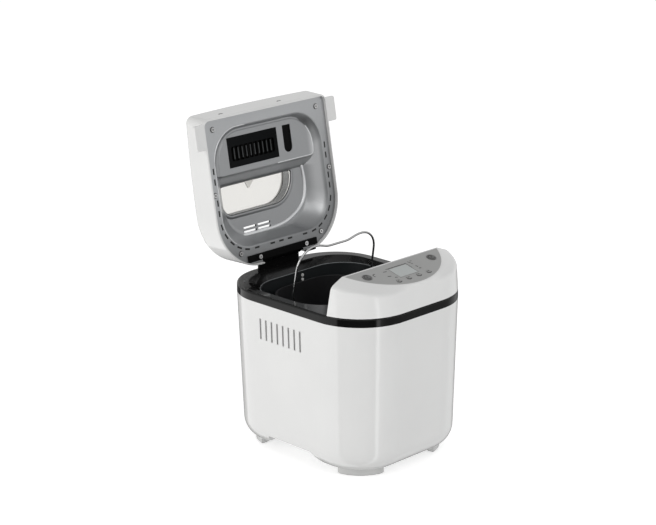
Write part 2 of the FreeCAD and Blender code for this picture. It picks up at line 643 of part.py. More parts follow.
# Bail handle: one wire from pivot to pivot, leaning forward at rest
lean = math.radians(s.bail_lean)


def bail_point(x, along):
    """A point of the handle, at a distance from its pivot line."""
    return Vector(x, s.oven_middle - along * math.sin(lean), s.bail_pivot_z + along * math.cos(lean))


bail_end = lug_x + s.run_gap
bail_half_points = [
    bail_point(-bail_end, 0), bail_point(-bail_half, 0),
    bail_point(s.bail_taper - bail_half, s.bail_height), bail_point(-bail_shoulder, s.bail_height),
    bail_point(s.bail_dip_run - bail_shoulder, s.bail_height - s.bail_dip),
]
bail_points = bail_half_points + [Vector(-p.x, p.y, p.z) for p in reversed(bail_half_points)]
half_radii = [s.bail_elbow_r, s.bail_corner_r, s.bail_bend_r, s.bail_bend_r]
solid("bail_handle", rod(rounded_path(bail_points, half_radii + half_radii[::-1]), s.wire_r))

# Pan shaft with its bush, coupling and kneading paddle
axis_at = Vector(0, s.oven_middle, 0)
dog_top = dog_bottom + s.dog_height
bush_bottom = dog_top + s.run_gap
floor_top = s.pan_floor + s.pan_wall
bush = Part.makeCylinder(s.bush_r, floor_top - bush_bottom, axis_at + UP * bush_bottom)
bush = bush.fuse(Part.makeCylinder(s.bush_flange_r, s.bush_flange, axis_at + UP * floor_top))
bush_bore = Part.makeCylinder(s.shaft_r + s.shaft_gap, s.pan_floor, axis_at + UP * s.chassis_z)
solid("pan_bush", one(bush.cut(bush_bore)))
solid("pan_shaft", Part.makeCylinder(s.shaft_r, shaft_top - dog_bottom, axis_at + UP * dog_bottom))
dog = Part.makeBox(
    s.dog_width, s.dog_length, s.dog_height,
    axis_at + Vector(-s.dog_width / 2, -s.dog_length / 2, dog_bottom),
)
dog = dog.fuse(Part.makeCylinder(s.bush_r, s.dog_height, axis_at + UP * dog_bottom))
dog_bore = Part.makeCylinder(s.shaft_r, s.dog_height, axis_at + UP * dog_bottom)
solid("pan_coupling", one(dog.cut(dog_bore)))
blade_root = Part.makeBox(
    s.paddle_reach - s.paddle_thick, s.paddle_thick, s.paddle_height,
    axis_at + Vector(0, -s.paddle_thick / 2, hub_bottom),
)
blade_tip = Part.makeCylinder(
    s.paddle_thick / 2, s.paddle_height, axis_at + Vector(s.paddle_reach - s.paddle_thick, 0, hub_bottom)
)
slope_cut = Part.makeBox(
    2 * s.paddle_reach, 2 * s.paddle_thick, s.paddle_height,
    axis_at + Vector(s.paddle_hub_r, -s.paddle_thick, hub_bottom + s.paddle_height),
)
slope_at = axis_at + Vector(s.paddle_hub_r, 0, hub_bottom + s.paddle_height)
slope_cut.rotate(slope_at, TO_REAR, s.paddle_sweep)
hub = Part.makeCylinder(s.paddle_hub_r, s.paddle_hub_height, axis_at + UP * hub_bottom)
hub = hub.makeFillet(s.paddle_hub_round, edges_at(hub, hub_bottom + s.paddle_hub_height))
hub_bore = Part.makeCylinder(s.shaft_r + s.shaft_gap, s.pan_shaft_rise, axis_at + UP * hub_bottom)
paddle = blade_root.fuse(blade_tip).cut(slope_cut).fuse(hub).cut(hub_bore)
solid("kneading_paddle", one(paddle))

# Drive: bearing through the chassis and the chamber floor, shaft, coupling, pulley and belt
bearing = Part.makeCylinder(s.bearing_r, seat_top - s.bearing_bottom, axis_at + UP * s.bearing_bottom)
bearing = bearing.fuse(
    Part.makeCylinder(s.bearing_flange_r, s.bearing_flange, axis_at + UP * (s.chassis_z + s.chassis_thick))
)
bearing_bore = Part.makeCylinder(s.shaft_r + s.shaft_gap, seat_top, axis_at + UP * s.shaft_bottom)
solid("drive_bearing", one(bearing.cut(bearing_bore)))
drive_length = "oven_floor + oven_sheet + seat_thick + run_gap + coupling_thick - shaft_bottom"
node("drive_shaft", cylinder("shaft_rod", "shaft_r", drive_length, ("0", "oven_middle", "shaft_bottom")))
coupling = Part.makeCylinder(s.coupling_r, s.coupling_thick, axis_at + UP * (coupling_top - s.coupling_thick))
lug_in = s.coupling_r - s.lug_depth
coupling_lugs = [
    sector(axis_at, s.coupling_r, lug_in, turn - s.lug_span / 2, s.lug_span, coupling_top, s.lug_rise)
    for turn in (0, 180)
]
coupling_bore = Part.makeCylinder(s.shaft_r, coupling_top, axis_at)
solid("drive_coupling", one(coupling.fuse(coupling_lugs).cut(coupling_bore)))


def pulley(label, radius, x, y, bore, hub_top):
    """A flat belt pulley with two flanges on a hub, each size an expression."""
    flange_r = f"{radius} + flange_rise"
    top_flange_z = "pulley_bottom + pulley_height - flange_thick"
    parts = [
        cylinder(label + "_rim", radius, "pulley_height", (x, y, "pulley_bottom")),
        cylinder(label + "_low_flange", flange_r, "flange_thick", (x, y, "pulley_bottom")),
        cylinder(label + "_high_flange", flange_r, "flange_thick", (x, y, top_flange_z)),
        cylinder(label + "_hub", f"{bore} * 2", f"{hub_top} - pulley_bottom", (x, y, "pulley_bottom")),
    ]
    hole = cylinder(label + "_hole", bore, "pulley_height * 2", (x, y, "pulley_bottom"))
    node(label, cut(label + "_cut", fuse(label + "_blank", parts), [hole]))


pulley("drive_pulley", "pulley_r", "0", "oven_middle", "shaft_r", "bearing_bottom - run_gap")
motor_hub_top = "pulley_bottom + pulley_height + run_gap"
pulley("motor_pulley", "motor_pulley_r", "motor_x", "motor_y", "motor_shaft_r", motor_hub_top)

motor_at = Vector(s.motor_x, s.motor_y, 0)


def belt_loop(grow, z):
    """The open belt's path round both pulleys at one distance from their faces."""
    r_big = s.pulley_r + grow
    r_small = s.motor_pulley_r + grow
    span = motor_at - axis_at
    along = Vector(span).normalize()
    across = UP.cross(along)
    lean_in = math.asin((r_big - r_small) / span.Length)

    def touch(centre, radius, side):
        turn = along * math.sin(lean_in) + across * (side * math.cos(lean_in))
        return centre + turn * radius + UP * z

    big_far = axis_at - along * r_big + UP * z
    small_far = motor_at + along * r_small + UP * z
    big_ends = [touch(axis_at, r_big, side) for side in (1, -1)]
    small_ends = [touch(motor_at, r_small, side) for side in (1, -1)]
    return Part.Wire([
        arc(big_ends[0], big_far, big_ends[1]), line(big_ends[1], small_ends[1]),
        arc(small_ends[1], small_far, small_ends[0]), line(small_ends[0], big_ends[0]),
    ])


belt_z = s.pulley_bottom + s.pulley_height / 2 - s.belt_width / 2
belt = prism(belt_loop(s.run_gap + s.belt_thick, belt_z), s.belt_width)
solid("drive_belt", one(belt.cut(prism(belt_loop(s.run_gap, belt_z), s.belt_width))))

# Motor on three rubber mounts
motor_z = "chassis_z + chassis_thick + mount_height"
motor_case = cylinder("motor_case", "motor_r", "motor_height", ("motor_x", "motor_y", motor_z))
bore_r = "motor_shaft_r + shaft_gap"
motor_bore = cylinder("motor_bore_tool", bore_r, "motor_bore", ("motor_x", "motor_y", motor_z))
node("motor", cut("motor_cut", motor_case, [motor_bore]))
node(
    "motor_shaft",
    cylinder(
        "motor_rod", "motor_shaft_r", "chassis_z + chassis_thick + mount_height + motor_bore - pulley_bottom",
        ("motor_x", "motor_y", "pulley_bottom - run_gap"),
    ),
)
mounts = []
for i, (x, y) in enumerate((
    ("motor_x + mount_circle_r * 0.866", "motor_y + mount_circle_r * 0.5"),
    ("motor_x - mount_circle_r * 0.866", "motor_y + mount_circle_r * 0.5"),
    ("motor_x", "motor_y - mount_circle_r"),
)):
    mounts.append(cylinder(f"mount_{i}", "mount_r", "mount_height", (x, y, "chassis_z + chassis_thick")))
node("motor_mounts", group("mount_group", mounts))

# Power board on its bracket, left of the motor, and the cord gland in the rear wall
bracket_y = s.power_board_y - 2 * s.bracket_thick
bracket_x = s.power_board_x
bracket_z = s.chassis_z + s.chassis_thick
bracket_half = s.power_board_width / 4
bracket_at = Vector(bracket_x, bracket_y, bracket_z)
bracket_height = s.power_board_height + s.bracket_foot
bracket = Part.makeBox(2 * bracket_half, s.bracket_thick, bracket_height, bracket_at)
bracket = bracket.fuse(Part.makeBox(2 * bracket_half, s.bracket_foot, s.bracket_thick, bracket_at))
standoff_points = [
    bracket_at + Vector(dx, s.bracket_thick, dz)
    for dx in (bracket_half / 4, 7 * bracket_half / 4)
    for dz in (s.bracket_foot + s.standoff_inset, bracket_height - s.standoff_inset)
]
standoffs = [Part.makeCylinder(2 * s.screw_r, 2 * s.bracket_thick, p, TO_REAR) for p in standoff_points]
solid("board_bracket", one(bracket.fuse(standoffs)))
board_face_y = bracket_y + 3 * s.bracket_thick


def board(label, width, depth, place):
    """A circuit board as one padded rectangle about its body's origin."""
    body = doc.addObject("PartDesign::Body", label + "_body")
    sketch = body.newObject("Sketcher::SketchObject", label + "_sketch")
    plane = next(p for p in body.Origin.OriginFeatures if p.Role == "XY_Plane")
    sketch.AttachmentSupport = [(plane, "")]
    sketch.MapMode = "FlatFace"
    corners = [Vector(-20, -10, 0), Vector(20, -10, 0), Vector(20, 10, 0), Vector(-20, 10, 0)]
    for a, b in zip(corners, corners[1:] + corners[:1]):
        sketch.addGeometry(Part.LineSegment(a, b), False)
    for i in range(4):
        sketch.addConstraint(Sketcher.Constraint("Coincident", i, 2, (i + 1) % 4, 1))
    for kind, edges in (("Horizontal", (0, 2)), ("Vertical", (1, 3))):
        for edge in edges:
            sketch.addConstraint(Sketcher.Constraint(kind, edge))
    sketch.addConstraint(Sketcher.Constraint("Symmetric", 0, 1, 1, 2, -1, 1))
    across = sketch.addConstraint(Sketcher.Constraint("DistanceX", 0, 1, 0, 2, 40))
    along = sketch.addConstraint(Sketcher.Constraint("DistanceY", 1, 1, 1, 2, 20))
    sketch.setExpression(f"Constraints[{across}]", cells(width))
    sketch.setExpression(f"Constraints[{along}]", cells(depth))
    pad = body.newObject("PartDesign::Pad", label + "_pad")
    pad.Profile = sketch
    pad.setExpression("Length", cells("board_thick"))
    body.Tip = pad
    return node(label, body, place)


upright = Rotation(TURN_X, -90)
board_middle = Vector(
    bracket_x + bracket_half / 2, board_face_y, bracket_z + s.bracket_foot + s.power_board_height / 2
)
power_place = housing_place * Placement(board_middle, upright)
board("power_board", "power_board_width", "power_board_height", power_place)
board_front_y = board_face_y + s.board_thick
# Each component's place across and up the board, then its width, depth and height
component_sizes = [
    (-20, -12, 24, 22, 20),
    (12, -14, 16, 14, 18),
    (-22, 16, 14, 12, 16),
    (10, 14, 22, 10, 24),
]
components = []
for dx, dz, width, deep, height in component_sizes:
    corner = Vector(board_middle.x + dx - width / 2, board_front_y, board_middle.z + dz - height / 2)
    components.append(Part.makeBox(width, deep, height, corner))
solid("power_components", Part.makeCompound(components))

gland_y = rear - (s.shell_top - s.gland_z - s.gland_r - s.gland_flange) * rear_draft
gland_at = Vector(s.gland_x, gland_y, s.gland_z)
gland = Part.makeCylinder(s.gland_r, 6 * s.gland_flange, gland_at, -TO_REAR)
gland = gland.fuse(Part.makeCylinder(s.gland_r + s.gland_flange, s.gland_flange, gland_at, TO_REAR))
cord_start = gland_at - TO_REAR * (8 * s.gland_flange)
cord_hole = Part.makeCylinder(s.gland_hole_r, 12 * s.gland_flange, cord_start, TO_REAR)
solid("cord_gland", one(gland.cut(cord_hole)))

# Console: a hood over the front of the collar, with a sloping control panel


def ring(points):
    """A closed outline from its right end, right bend, right front point and front middle, mirrored in X."""
    right, bend, front_right, apex = points
    left, left_bend, front_left = [Vector(-p.x, p.y, p.z) for p in points[:3]]
    straight = (apex - (front_right + front_left) / 2).Length < 1e-6
    front_edge = line(front_right, front_left) if straight else arc(front_right, apex, front_left)
    right_arc = arc(right, bend, front_right)
    left_arc = arc(front_left, left_bend, left)
    return Part.Wire([line(left, right), right_arc, front_edge, left_arc])


def between(low, high, share):
    """The points part of the way from one ring to another."""
    return [a + (b - a) * share for a, b in zip(low, high)]


def hood_points(place, half, y_back, y_front, r):
    """A ring with two corner arcs and a straight front, in a sloping plane."""
    centre_x = half - r
    centre_y = y_front + r
    chord_x = centre_x + math.sqrt(r * r - (y_back - centre_y) ** 2) if y_back < centre_y else half
    start = math.atan2(y_back - centre_y, chord_x - centre_x)
    middle = (start - math.pi / 2) / 2
    points = [
        Vector(chord_x, y_back, 0),
        Vector(centre_x + r * math.cos(middle), centre_y + r * math.sin(middle), 0),
        Vector(centre_x, y_front, 0),
        Vector(0, y_front, 0),
    ]
    return [place.multVec(p) for p in points]


def panel_points(grow, drop):
    """The control panel's segment outline as a ring, grown in its plane and set below it."""
    half = s.panel_half + grow
    sagitta = s.panel_sagitta + 2 * grow
    radius = (half * half + sagitta * sagitta) / (2 * sagitta)
    centre_y = grow - sagitta + radius
    end_angle = math.atan2(grow - centre_y, half)
    split_angle = -math.acos(s.front_corner_r / 2 / radius)
    points = [Vector(half, grow, -drop)]
    for angle in ((end_angle + split_angle) / 2, split_angle, -math.pi / 2):
        points.append(Vector(radius * math.cos(angle), centre_y + radius * math.sin(angle), -drop))
    return points


lean_run = math.tan(math.radians(s.console_lean))


def console_block(inset, drop):
    """The hood: a steep lower part and a flat upper part, with the crease between them taken off."""
    base_z = collar_top - drop
    base_back = console_back - inset + drop * lean_run
    base = hood_points(
        Placement(Vector(0, 0, base_z), Rotation()), half_width - s.console_inset - inset, base_back,
        front + s.console_inset + inset, s.front_corner_r - s.console_inset - inset,
    )
    crease_z = s.crease_back_z - inset
    crease_back = console_back - inset - (crease_z - collar_top) * lean_run
    crease_place = Placement(Vector(0, crease_back, crease_z), Rotation(TURN_X, s.crease_slope))
    stretch = math.cos(math.radians(s.crease_slope))
    crease_front = (front + s.crease_front_room + inset - crease_back) / stretch
    crease = hood_points(crease_place, half_width - inset, 0, crease_front, s.front_corner_r - inset)
    top = [panel_local.multVec(p) for p in panel_points(s.panel_margin - inset, inset)]
    below = between(crease, base, s.crease_low)
    above = between(crease, top, s.crease_high)
    return loft(ring(base), ring(below), ring(above), ring(top))


big_keys = [("menu_key", -1), ("start_key", 1)]
small_keys = [("program_key", -1.5), ("crust_key", -0.5), ("size_key", 0.5), ("timer_key", 1.5)]
key_places = [(label, side * s.big_key_u, -s.big_key_v, s.big_key_r) for label, side in big_keys]
key_places += [(label, step * s.small_key_pitch, -s.small_key_v, s.small_key_r) for label, step in small_keys]


def in_panel(shape):
    shape.Placement = panel_local * shape.Placement
    return shape


def display_block(grow, low, high):
    half_u = s.display_width / 2 + grow
    half_v = s.display_depth / 2 + grow
    corner = Vector(s.display_u - half_u, -s.display_v - half_v, low)
    return Part.makeBox(2 * half_u, 2 * half_v, high - low, corner)


def film_block(grow, low, high):
    return prism(ring(panel_points(grow, -low)), high - low)


hood = console_block(0, 0).cut(console_block(s.wall, s.wall))
board_posts = []
for u in (-s.control_board_width / 3, s.control_board_width / 3):
    for side in (-1, 1):
        v = s.control_board_v + side * (s.control_board_depth / 2 - s.board_post_inset)
        post = Part.makeCylinder(2 * s.screw_r, s.board_drop - s.wall / 2, Vector(u, -v, -s.board_drop))
        board_posts.append(in_panel(post))
openings = [film_block(s.fit_gap, -s.film_thick, s.film_thick), display_block(s.fit_gap, -2 * s.wall, s.wall)]
openings += [
    Part.makeCylinder(r + s.key_gap, 4 * s.wall, Vector(u, v, -3 * s.wall)) for _, u, v, r in key_places
]
hood = hood.fuse(board_posts).cut([in_panel(tool) for tool in openings])
solid("console_cover", one(hood))

film = film_block(0, -s.film_thick, 0).cut([display_block(s.fit_gap, -s.wall, s.wall)] + [
    Part.makeCylinder(r + s.key_gap, 4 * s.wall, Vector(u, v, -2 * s.wall)) for _, u, v, r in key_places
])
solid("control_membrane", one(film), panel_place)
solid("display_window", display_block(0, -s.wall, 0), panel_place)
node(
    "display_module",
    block(
        "module_box", "display_width + 2 * module_margin", "display_depth + 2 * module_margin",
        "board_drop - wall - wall",
        ("display_u - display_width / 2 - module_margin", "-display_v - display_depth / 2 - module_margin",
         "-board_drop"),
    ),
    panel_place,
)
board_at = Placement(Vector(0, -s.control_board_v, -s.board_drop - s.board_thick), Rotation())
board("control_board", "control_board_width", "control_board_depth", panel_place * board_at)
switch_height = s.board_drop - s.key_stem - s.key_travel - s.fit_gap
switch_size = 2 * s.small_key_r
solid("key_switches", Part.makeCompound([
    Part.makeBox(
        switch_size, switch_size, switch_height,
        Vector(u - switch_size / 2, v - switch_size / 2, -s.board_drop),
    )
    for _, u, v, _ in key_places
]), panel_place)
skirt_low = "-wall - key_gap - key_travel"
for label, side in big_keys + small_keys:
    big = label in ("menu_key", "start_key")
    radius = "big_key_r" if big else "small_key_r"
    u = f"{side} * big_key_u" if big else f"{side} * small_key_pitch"
    v = "-big_key_v" if big else "-small_key_v"
    cap = cylinder(label + "_cap", radius, "key_stem + key_proud", (u, v, "-key_stem"))
    skirt = cylinder(label + "_skirt", f"{radius} + key_skirt", "key_travel", (u, v, skirt_low))
    node(label, fuse(label + "_whole", [cap, skirt]), panel_place)

# Lid, modelled in its closed place and set open about the hinge
crown_r = (half_width ** 2 + s.lid_crown ** 2) / (2 * s.lid_crown)
crown_at = Vector(0, s.lid_crown_y, lid_top + s.lid_crown - crown_r)
lid_run = math.tan(math.radians(s.lid_lean))
lid_rear_run = math.tan(math.radians(s.lid_rear_lean))


def under_crown(inset):
    """Everything below the lid's domed top, less a wall."""
    ball = Part.makeSphere(crown_r - inset, crown_at, TURN_X)
    ball.rotate(crown_at, TURN_X, 180)
    keep = Part.makeBox(
        2 * s.body_width, 2 * s.body_depth, 2 * s.lid_side_height,
        Vector(-s.body_width, -s.body_depth, s.lid_rim_z - s.wall),
    )
    return ball.common(keep)


def lid_outline(inset, z):
    y_front = lid_front - (z - s.lid_rim_z) * lid_run + inset
    y_rear = rear - (z - s.lid_rim_z) * lid_rear_run - inset
    return outline(half_width - inset, y_front, y_rear, s.lid_front_r - inset, s.rear_corner_r - inset, z)


def lid_block(inset, z_low):
    tall = loft(lid_outline(inset, z_low), lid_outline(inset, lid_top + 2 * s.lid_crown))
    return tall.common(under_crown(inset))


def window_wire(grow, z):
    """The window: a straight front edge and two rounded rear corners of different radius."""
    x0 = s.window_left_room - recess_half - grow
    x1 = recess_half - s.window_right_room + grow
    y0 = s.window_front - grow
    y1 = window_rear + grow
    far_r = min(s.window_corner_r, window_rear - s.window_front - s.window_small_r)
    corners = [
        (x1, y0, s.window_small_r + grow, -90), (x1, y1, far_r + grow, 0),
        (x0, y1, s.window_near_r + grow, 90), (x0, y0, s.window_small_r + grow, 180),
    ]
    ends = []
    for x, y, r, start in corners:
        centre = Vector(x - r if x == x1 else x + r, y + r if y == y0 else y - r, z)
        turns = [math.radians(start + step) for step in (0, 45, 90)]
        ends.append([centre + Vector(r * math.cos(a), r * math.sin(a), 0) for a in turns])
    edges = []
    for here, after in zip(ends, ends[1:] + ends[:1]):
        edges.append(arc(*here))
        if here[2].distanceToPoint(after[0]) > 1e-6:
            edges.append(line(here[2], after[0]))
    return Part.Wire(edges)


steam_places = [
    (s.steam_left + i * (s.steam_length + s.steam_gap), steam_y + j * s.steam_pitch)
    for i in range(2)
    for j in range(2)
]


def steam_slots():
    tall = 3 * s.lid_side_height
    corners = [Vector(x, y - s.steam_width / 2, flange_z) for x, y in steam_places]
    return [Part.makeBox(s.steam_length, s.steam_width, tall, corner) for corner in corners]


screw_spots = [
    (half_width - s.lid_screw_front_room, lid_front + s.lid_screw_front_inset),
    (half_width - s.lid_screw_side_room, s.lid_screw_side_y),
    (half_width - s.lid_screw_rear_room, rear - s.lid_screw_rear_inset),
]
screw_points = [Vector(side * x, y, flange_z) for side in (-1, 1) for x, y in screw_spots]
plate_z = flange_z - s.plate_thick
plate_middle = (plate_front + plate_rear) / 2
plate_points = [Vector(side * s.plate_screw_x, plate_middle, plate_z) for side in (-1, 1)]
sheet_top = flange_z + s.liner_sheet
lid_outer = lid_block(0, s.lid_rim_z)
crown_face = max(lid_outer.Faces, key=lambda face: face.CenterOfMass.z)
lid_outer = lid_outer.makeFillet(s.lid_edge_round, crown_face.Edges)
lid_outer = lid_outer.makeChamfer(s.lid_rim_chamfer, edges_at(lid_outer, s.lid_rim_z))
lid_inner = lid_block(s.wall, s.lid_rim_z - 1)
ears = []
for side in (-1, 1):
    x = half_width - s.wall if side > 0 else -half_width - s.ear_reach
    ear = Part.makeBox(
        s.ear_reach + s.wall, s.ear_length, s.ear_thick, Vector(x, ear_front, s.lid_rim_z)
    )
    upright_edges = [
        e for e in ear.Edges
        if e.BoundBox.ZLength > s.ear_thick / 2 and abs(e.CenterOfMass.x) > half_width + s.ear_reach / 2
    ]
    ears.append(ear.makeFillet(s.ear_round, upright_edges))
posts = [
    Part.makeCylinder(2.5 * s.screw_r, 2 * s.lid_side_height, Vector(p.x, p.y, sheet_top))
    for p in screw_points + plate_points
]
posts = [post.common(under_crown(s.wall / 2)) for post in posts]
post_holes = [Part.makeCylinder(s.screw_r, s.screw_length, p) for p in screw_points + plate_points]
notch_half = s.hinge_half + 3 * s.hinge_gap
hinge_notch = Part.makeBox(
    2 * notch_half, s.wall * 8, s.hinge_z + s.notch_rise - s.lid_rim_z + 1,
    Vector(-notch_half, rear - 4 * s.wall, s.lid_rim_z - 1),
)
window_cut = prism(window_wire(0, flange_z), 3 * s.lid_side_height)
lid_shell = lid_outer.cut(lid_inner).fuse(ears + posts)
lid_shell = lid_shell.cut(post_holes + steam_slots() + [hinge_notch, window_cut])
solid("lid_shell", one(lid_shell), lid_place)

# Lid liner: a flange set into the rim, a deep recess and a raised ledge in its front half


def recess_block(grow):
    low = outline(
        recess_half + grow, recess_front - grow, recess_rear + grow,
        s.recess_corner_r + grow, s.recess_corner_r + grow, flange_z,
    )
    high = outline(
        floor_half + grow, floor_front - grow, floor_rear + grow,
        s.floor_corner_r + grow, s.floor_corner_r + grow, liner_floor + grow,
    )
    pocket = loft(low, high)
    return pocket.makeFillet(s.recess_round + grow, edges_at(pocket, liner_floor + grow))


def ledge_block(grow):
    z_low = flange_z + s.ledge_drop + grow
    z_high = liner_floor + 2 * grow
    flat_depth = s.ledge_rear - ledge_front - s.ledge_rear_r - s.ledge_round
    corner = min(s.ledge_corner_r, flat_depth) - grow
    half = ledge_half - grow
    rear_corner = s.ledge_rear_r - grow
    y_front = ledge_front + grow
    y_rear = s.ledge_rear - grow
    low = outline(half, y_front, y_rear, corner, rear_corner, z_low)
    high = outline(half, y_front, y_rear + s.ledge_ramp, corner, rear_corner, z_high)
    return loft(low, high)


def dash(x, y, turn):
    """A short slit in the flange, centred on a point and turned about it."""
    slit = Part.makeBox(
        s.dash_length, s.dash_width, 3 * s.liner_sheet,
        Vector(x - s.dash_length / 2, y - s.dash_width / 2, flange_z - s.liner_sheet),
    )
    slit.rotate(Vector(x, y, flange_z), UP, turn)
    return slit


dash_places = []
for side in (-1, 1):
    for step in (0, 1, 3, 4):
        dash_places.append((side * dash_half, s.dash_start + step * s.dash_pitch, 90))
    for step in range(5):
        angle = s.dash_turn + step * s.dash_turn_step
        turn = math.radians(angle)
        x = dash_half - s.dash_corner_r + s.dash_corner_r * math.cos(turn)
        y = dash_rear - s.dash_corner_r + s.dash_corner_r * math.sin(turn)
        dash_places.append((side * x, y, side * angle + 90))
    for step in range(2):
        dash_places.append((side * (s.dash_rear_x + step * s.dash_rear_pitch), dash_rear, 0))
dash_places.append((0, dash_rear, 0))

flange_plate = prism(lid_outline(s.wall + 1.5 * s.fit_gap, sheet_top), -s.liner_sheet)
recess_out = recess_block(s.liner_sheet)
ledge = ledge_block(0)
ledge = ledge.makeFillet(s.ledge_round, edges_at(ledge, flange_z + s.ledge_drop)).common(recess_out)
ledge_cavity = ledge_block(s.liner_sheet)
window_frame = prism(window_wire(s.liner_sheet, liner_floor), 2 * s.lid_side_height)
window_frame = window_frame.common(under_crown(s.wall + s.window_thick + s.fit_gap))
liner = flange_plate.fuse(recess_out).cut(recess_block(0)).fuse(ledge).cut(ledge_cavity)
mouth_edges = [
    e for e in edges_at(liner, flange_z)
    if max(-e.BoundBox.XMin, e.BoundBox.XMax) < recess_half + 1
    and e.BoundBox.YMin > recess_front - 1
    and e.BoundBox.YMax < recess_rear + 1
]
liner = liner.makeFillet(s.recess_rim_round, mouth_edges).fuse(window_frame)
slot_r = s.slot_width / 2
liner_slot = Part.makeBox(
    s.slot_width, s.slot_rear - slot_r - slot_front, s.recess_depth,
    Vector(s.slot_left, slot_front, flange_z),
)
liner_slot = liner_slot.fuse(
    Part.makeCylinder(slot_r, s.recess_depth, Vector(s.slot_left + slot_r, s.slot_rear - slot_r, flange_z))
)
grille_width = s.grille_right - grille_left
grille_depth = s.grille_rear - grille_front
grille_at = Vector(grille_left, grille_front, flange_z)
grille_cut = Part.makeBox(grille_width, grille_depth, s.recess_depth, grille_at)
liner_notch_half = s.hinge_half + 2 * s.hinge_gap
knuckle_notch = Part.makeBox(
    2 * liner_notch_half, s.body_depth, s.recess_depth,
    Vector(-liner_notch_half, plate_front + s.liner_notch_inset, flange_z - s.liner_sheet),
)
liner_cuts = [dash(*place) for place in dash_places] + steam_slots() + [liner_slot, grille_cut, knuckle_notch]
liner_cuts += [window_cut] + post_holes
solid("lid_liner", one(liner.cut(liner_cuts)), lid_place)

# Vent grille in the ledge: a tray with cross ribs, and a backing that also closes the slot beside it
tray_z = flange_z + s.ledge_drop
tray = Part.makeBox(
    grille_width - 2 * s.fit_gap, grille_depth - 2 * s.fit_gap, s.grille_deep,
    Vector(grille_left + s.fit_gap, grille_front + s.fit_gap, tray_z),
)
lap_width = s.slot_left + s.slot_width - grille_left + 2 * s.grille_rim
tray_lap = Part.makeBox(
    lap_width, grille_depth + 2 * s.grille_rim, s.liner_sheet,
    Vector(grille_left - s.grille_rim, grille_front - s.grille_rim, tray_z + s.liner_sheet),
)
rib_pitch = (grille_width - 2 * s.grille_rim) / s.grille_ribs
gap_x = grille_left + s.grille_rim + s.grille_rib / 2
gap_y = grille_front + s.grille_rim
gaps = [
    Part.makeBox(
        rib_pitch - s.grille_rib, grille_depth - 2 * s.grille_rim, s.grille_deep - s.liner_sheet,
        Vector(gap_x + i * rib_pitch, gap_y, tray_z),
    )
    for i in range(int(s.grille_ribs))
]
ledge_room = ledge_block(s.liner_sheet + s.fit_gap)
tray_lap = tray_lap.common(ledge_room)
tray = one(tray.fuse(tray_lap).cut(gaps))
solid("vent_grille", tray, lid_place)

# Window plates, steam duct, lid screws
inner_plate = prism(window_wire(-s.fit_gap, liner_floor + s.liner_sheet), s.window_thick)
solid("lid_window_inner", inner_plate, lid_place)
outer_plate = prism(window_wire(s.window_lap, s.lid_rim_z), 2 * s.lid_side_height)
outer_plate = outer_plate.common(under_crown(s.wall)).cut(under_crown(s.wall + s.window_thick))
solid("lid_window_outer", one(outer_plate), lid_place)
duct_left = s.steam_left - s.steam_gap
duct_width = 2 * s.steam_length + 3 * s.steam_gap
duct_deep = s.steam_pitch + 2 * s.steam_gap
duct = Part.makeBox(
    duct_width, duct_deep, 2 * s.lid_side_height,
    Vector(duct_left, steam_y - s.steam_gap, liner_floor + s.liner_sheet),
)
duct_core = Part.makeBox(
    duct_width - 2 * s.duct_wall, duct_deep - 2 * s.duct_wall, 2 * s.lid_side_height,
    Vector(duct_left + s.duct_wall, steam_y - s.steam_gap + s.duct_wall, liner_floor),
)
duct = duct.cut(duct_core).common(under_crown(s.wall))
solid("steam_duct", one(duct), lid_place)
solid("lid_screws", Part.makeCompound([screw(p, UP) for p in screw_points + plate_points]), lid_place)

# Hinge: the lid's plate and knuckle, the fixed knuckles on the collar and one pin
hinge_at = Vector(0, hinge_y, s.hinge_z)


def knuckle(x_low, x_high):
    return Part.makeCylinder(s.knuckle_r, x_high - x_low, hinge_at + TURN_X * x_low, TURN_X)


lid_half = s.lid_knuckle_half
plate = Part.makeBox(
    2 * s.plate_half, plate_rear - plate_front, s.plate_thick,
    Vector(-s.plate_half, plate_front, plate_z),
)
plate = plate.common(prism(lid_outline(s.wall + s.fit_gap, flange_z), -s.plate_thick))
web_front = plate_front + s.web_inset
web_at = Vector(-lid_half, web_front, plate_z)
web = Part.makeBox(2 * lid_half, plate_rear - web_front, s.hinge_z - plate_z, web_at)
pin_hole = Part.makeCylinder(s.hinge_pin_r + s.pin_gap, s.body_width, hinge_at - TURN_X * half_width, TURN_X)
plate_holes = [Part.makeCylinder(s.screw_r, s.screw_length, p) for p in plate_points]
lid_hinge = plate.fuse([web, knuckle(-lid_half, lid_half)]).cut(plate_holes + [pin_hole])
solid("hinge_bracket", one(lid_hinge), lid_place)
fixed_start = lid_half + 2 * s.hinge_gap
press_hole = Part.makeCylinder(s.hinge_pin_r, s.body_width, hinge_at - TURN_X * half_width, TURN_X)
stem_y = plate_rear + s.hinge_gap
stem_deep = rear - s.collar_edge - stem_y
bridge_height = s.hinge_z - s.knuckle_r - s.hinge_gap - collar_top
bridge_at = Vector(-s.hinge_half, stem_y, collar_top)
hinge_parts = [Part.makeBox(2 * s.hinge_half, stem_deep, bridge_height, bridge_at)]
for x_low, x_high in ((-s.hinge_half, -fixed_start), (fixed_start, s.hinge_half)):
    stem_at = Vector(x_low, stem_y, collar_top)
    hinge_parts.append(Part.makeBox(x_high - x_low, stem_deep, s.hinge_z - collar_top, stem_at))
    hinge_parts.append(knuckle(x_low, x_high))
solid("hinge_block", one(hinge_parts[0].fuse(hinge_parts[1:]).cut(press_hole)))
node(
    "hinge_pin",
    cylinder(
        "pin_rod", "hinge_pin_r", "2 * hinge_half",
        ("-hinge_half", "body_depth / 2 - hinge_rear_room", "hinge_z"),
        Rotation(TO_REAR, 90),
    ),
)

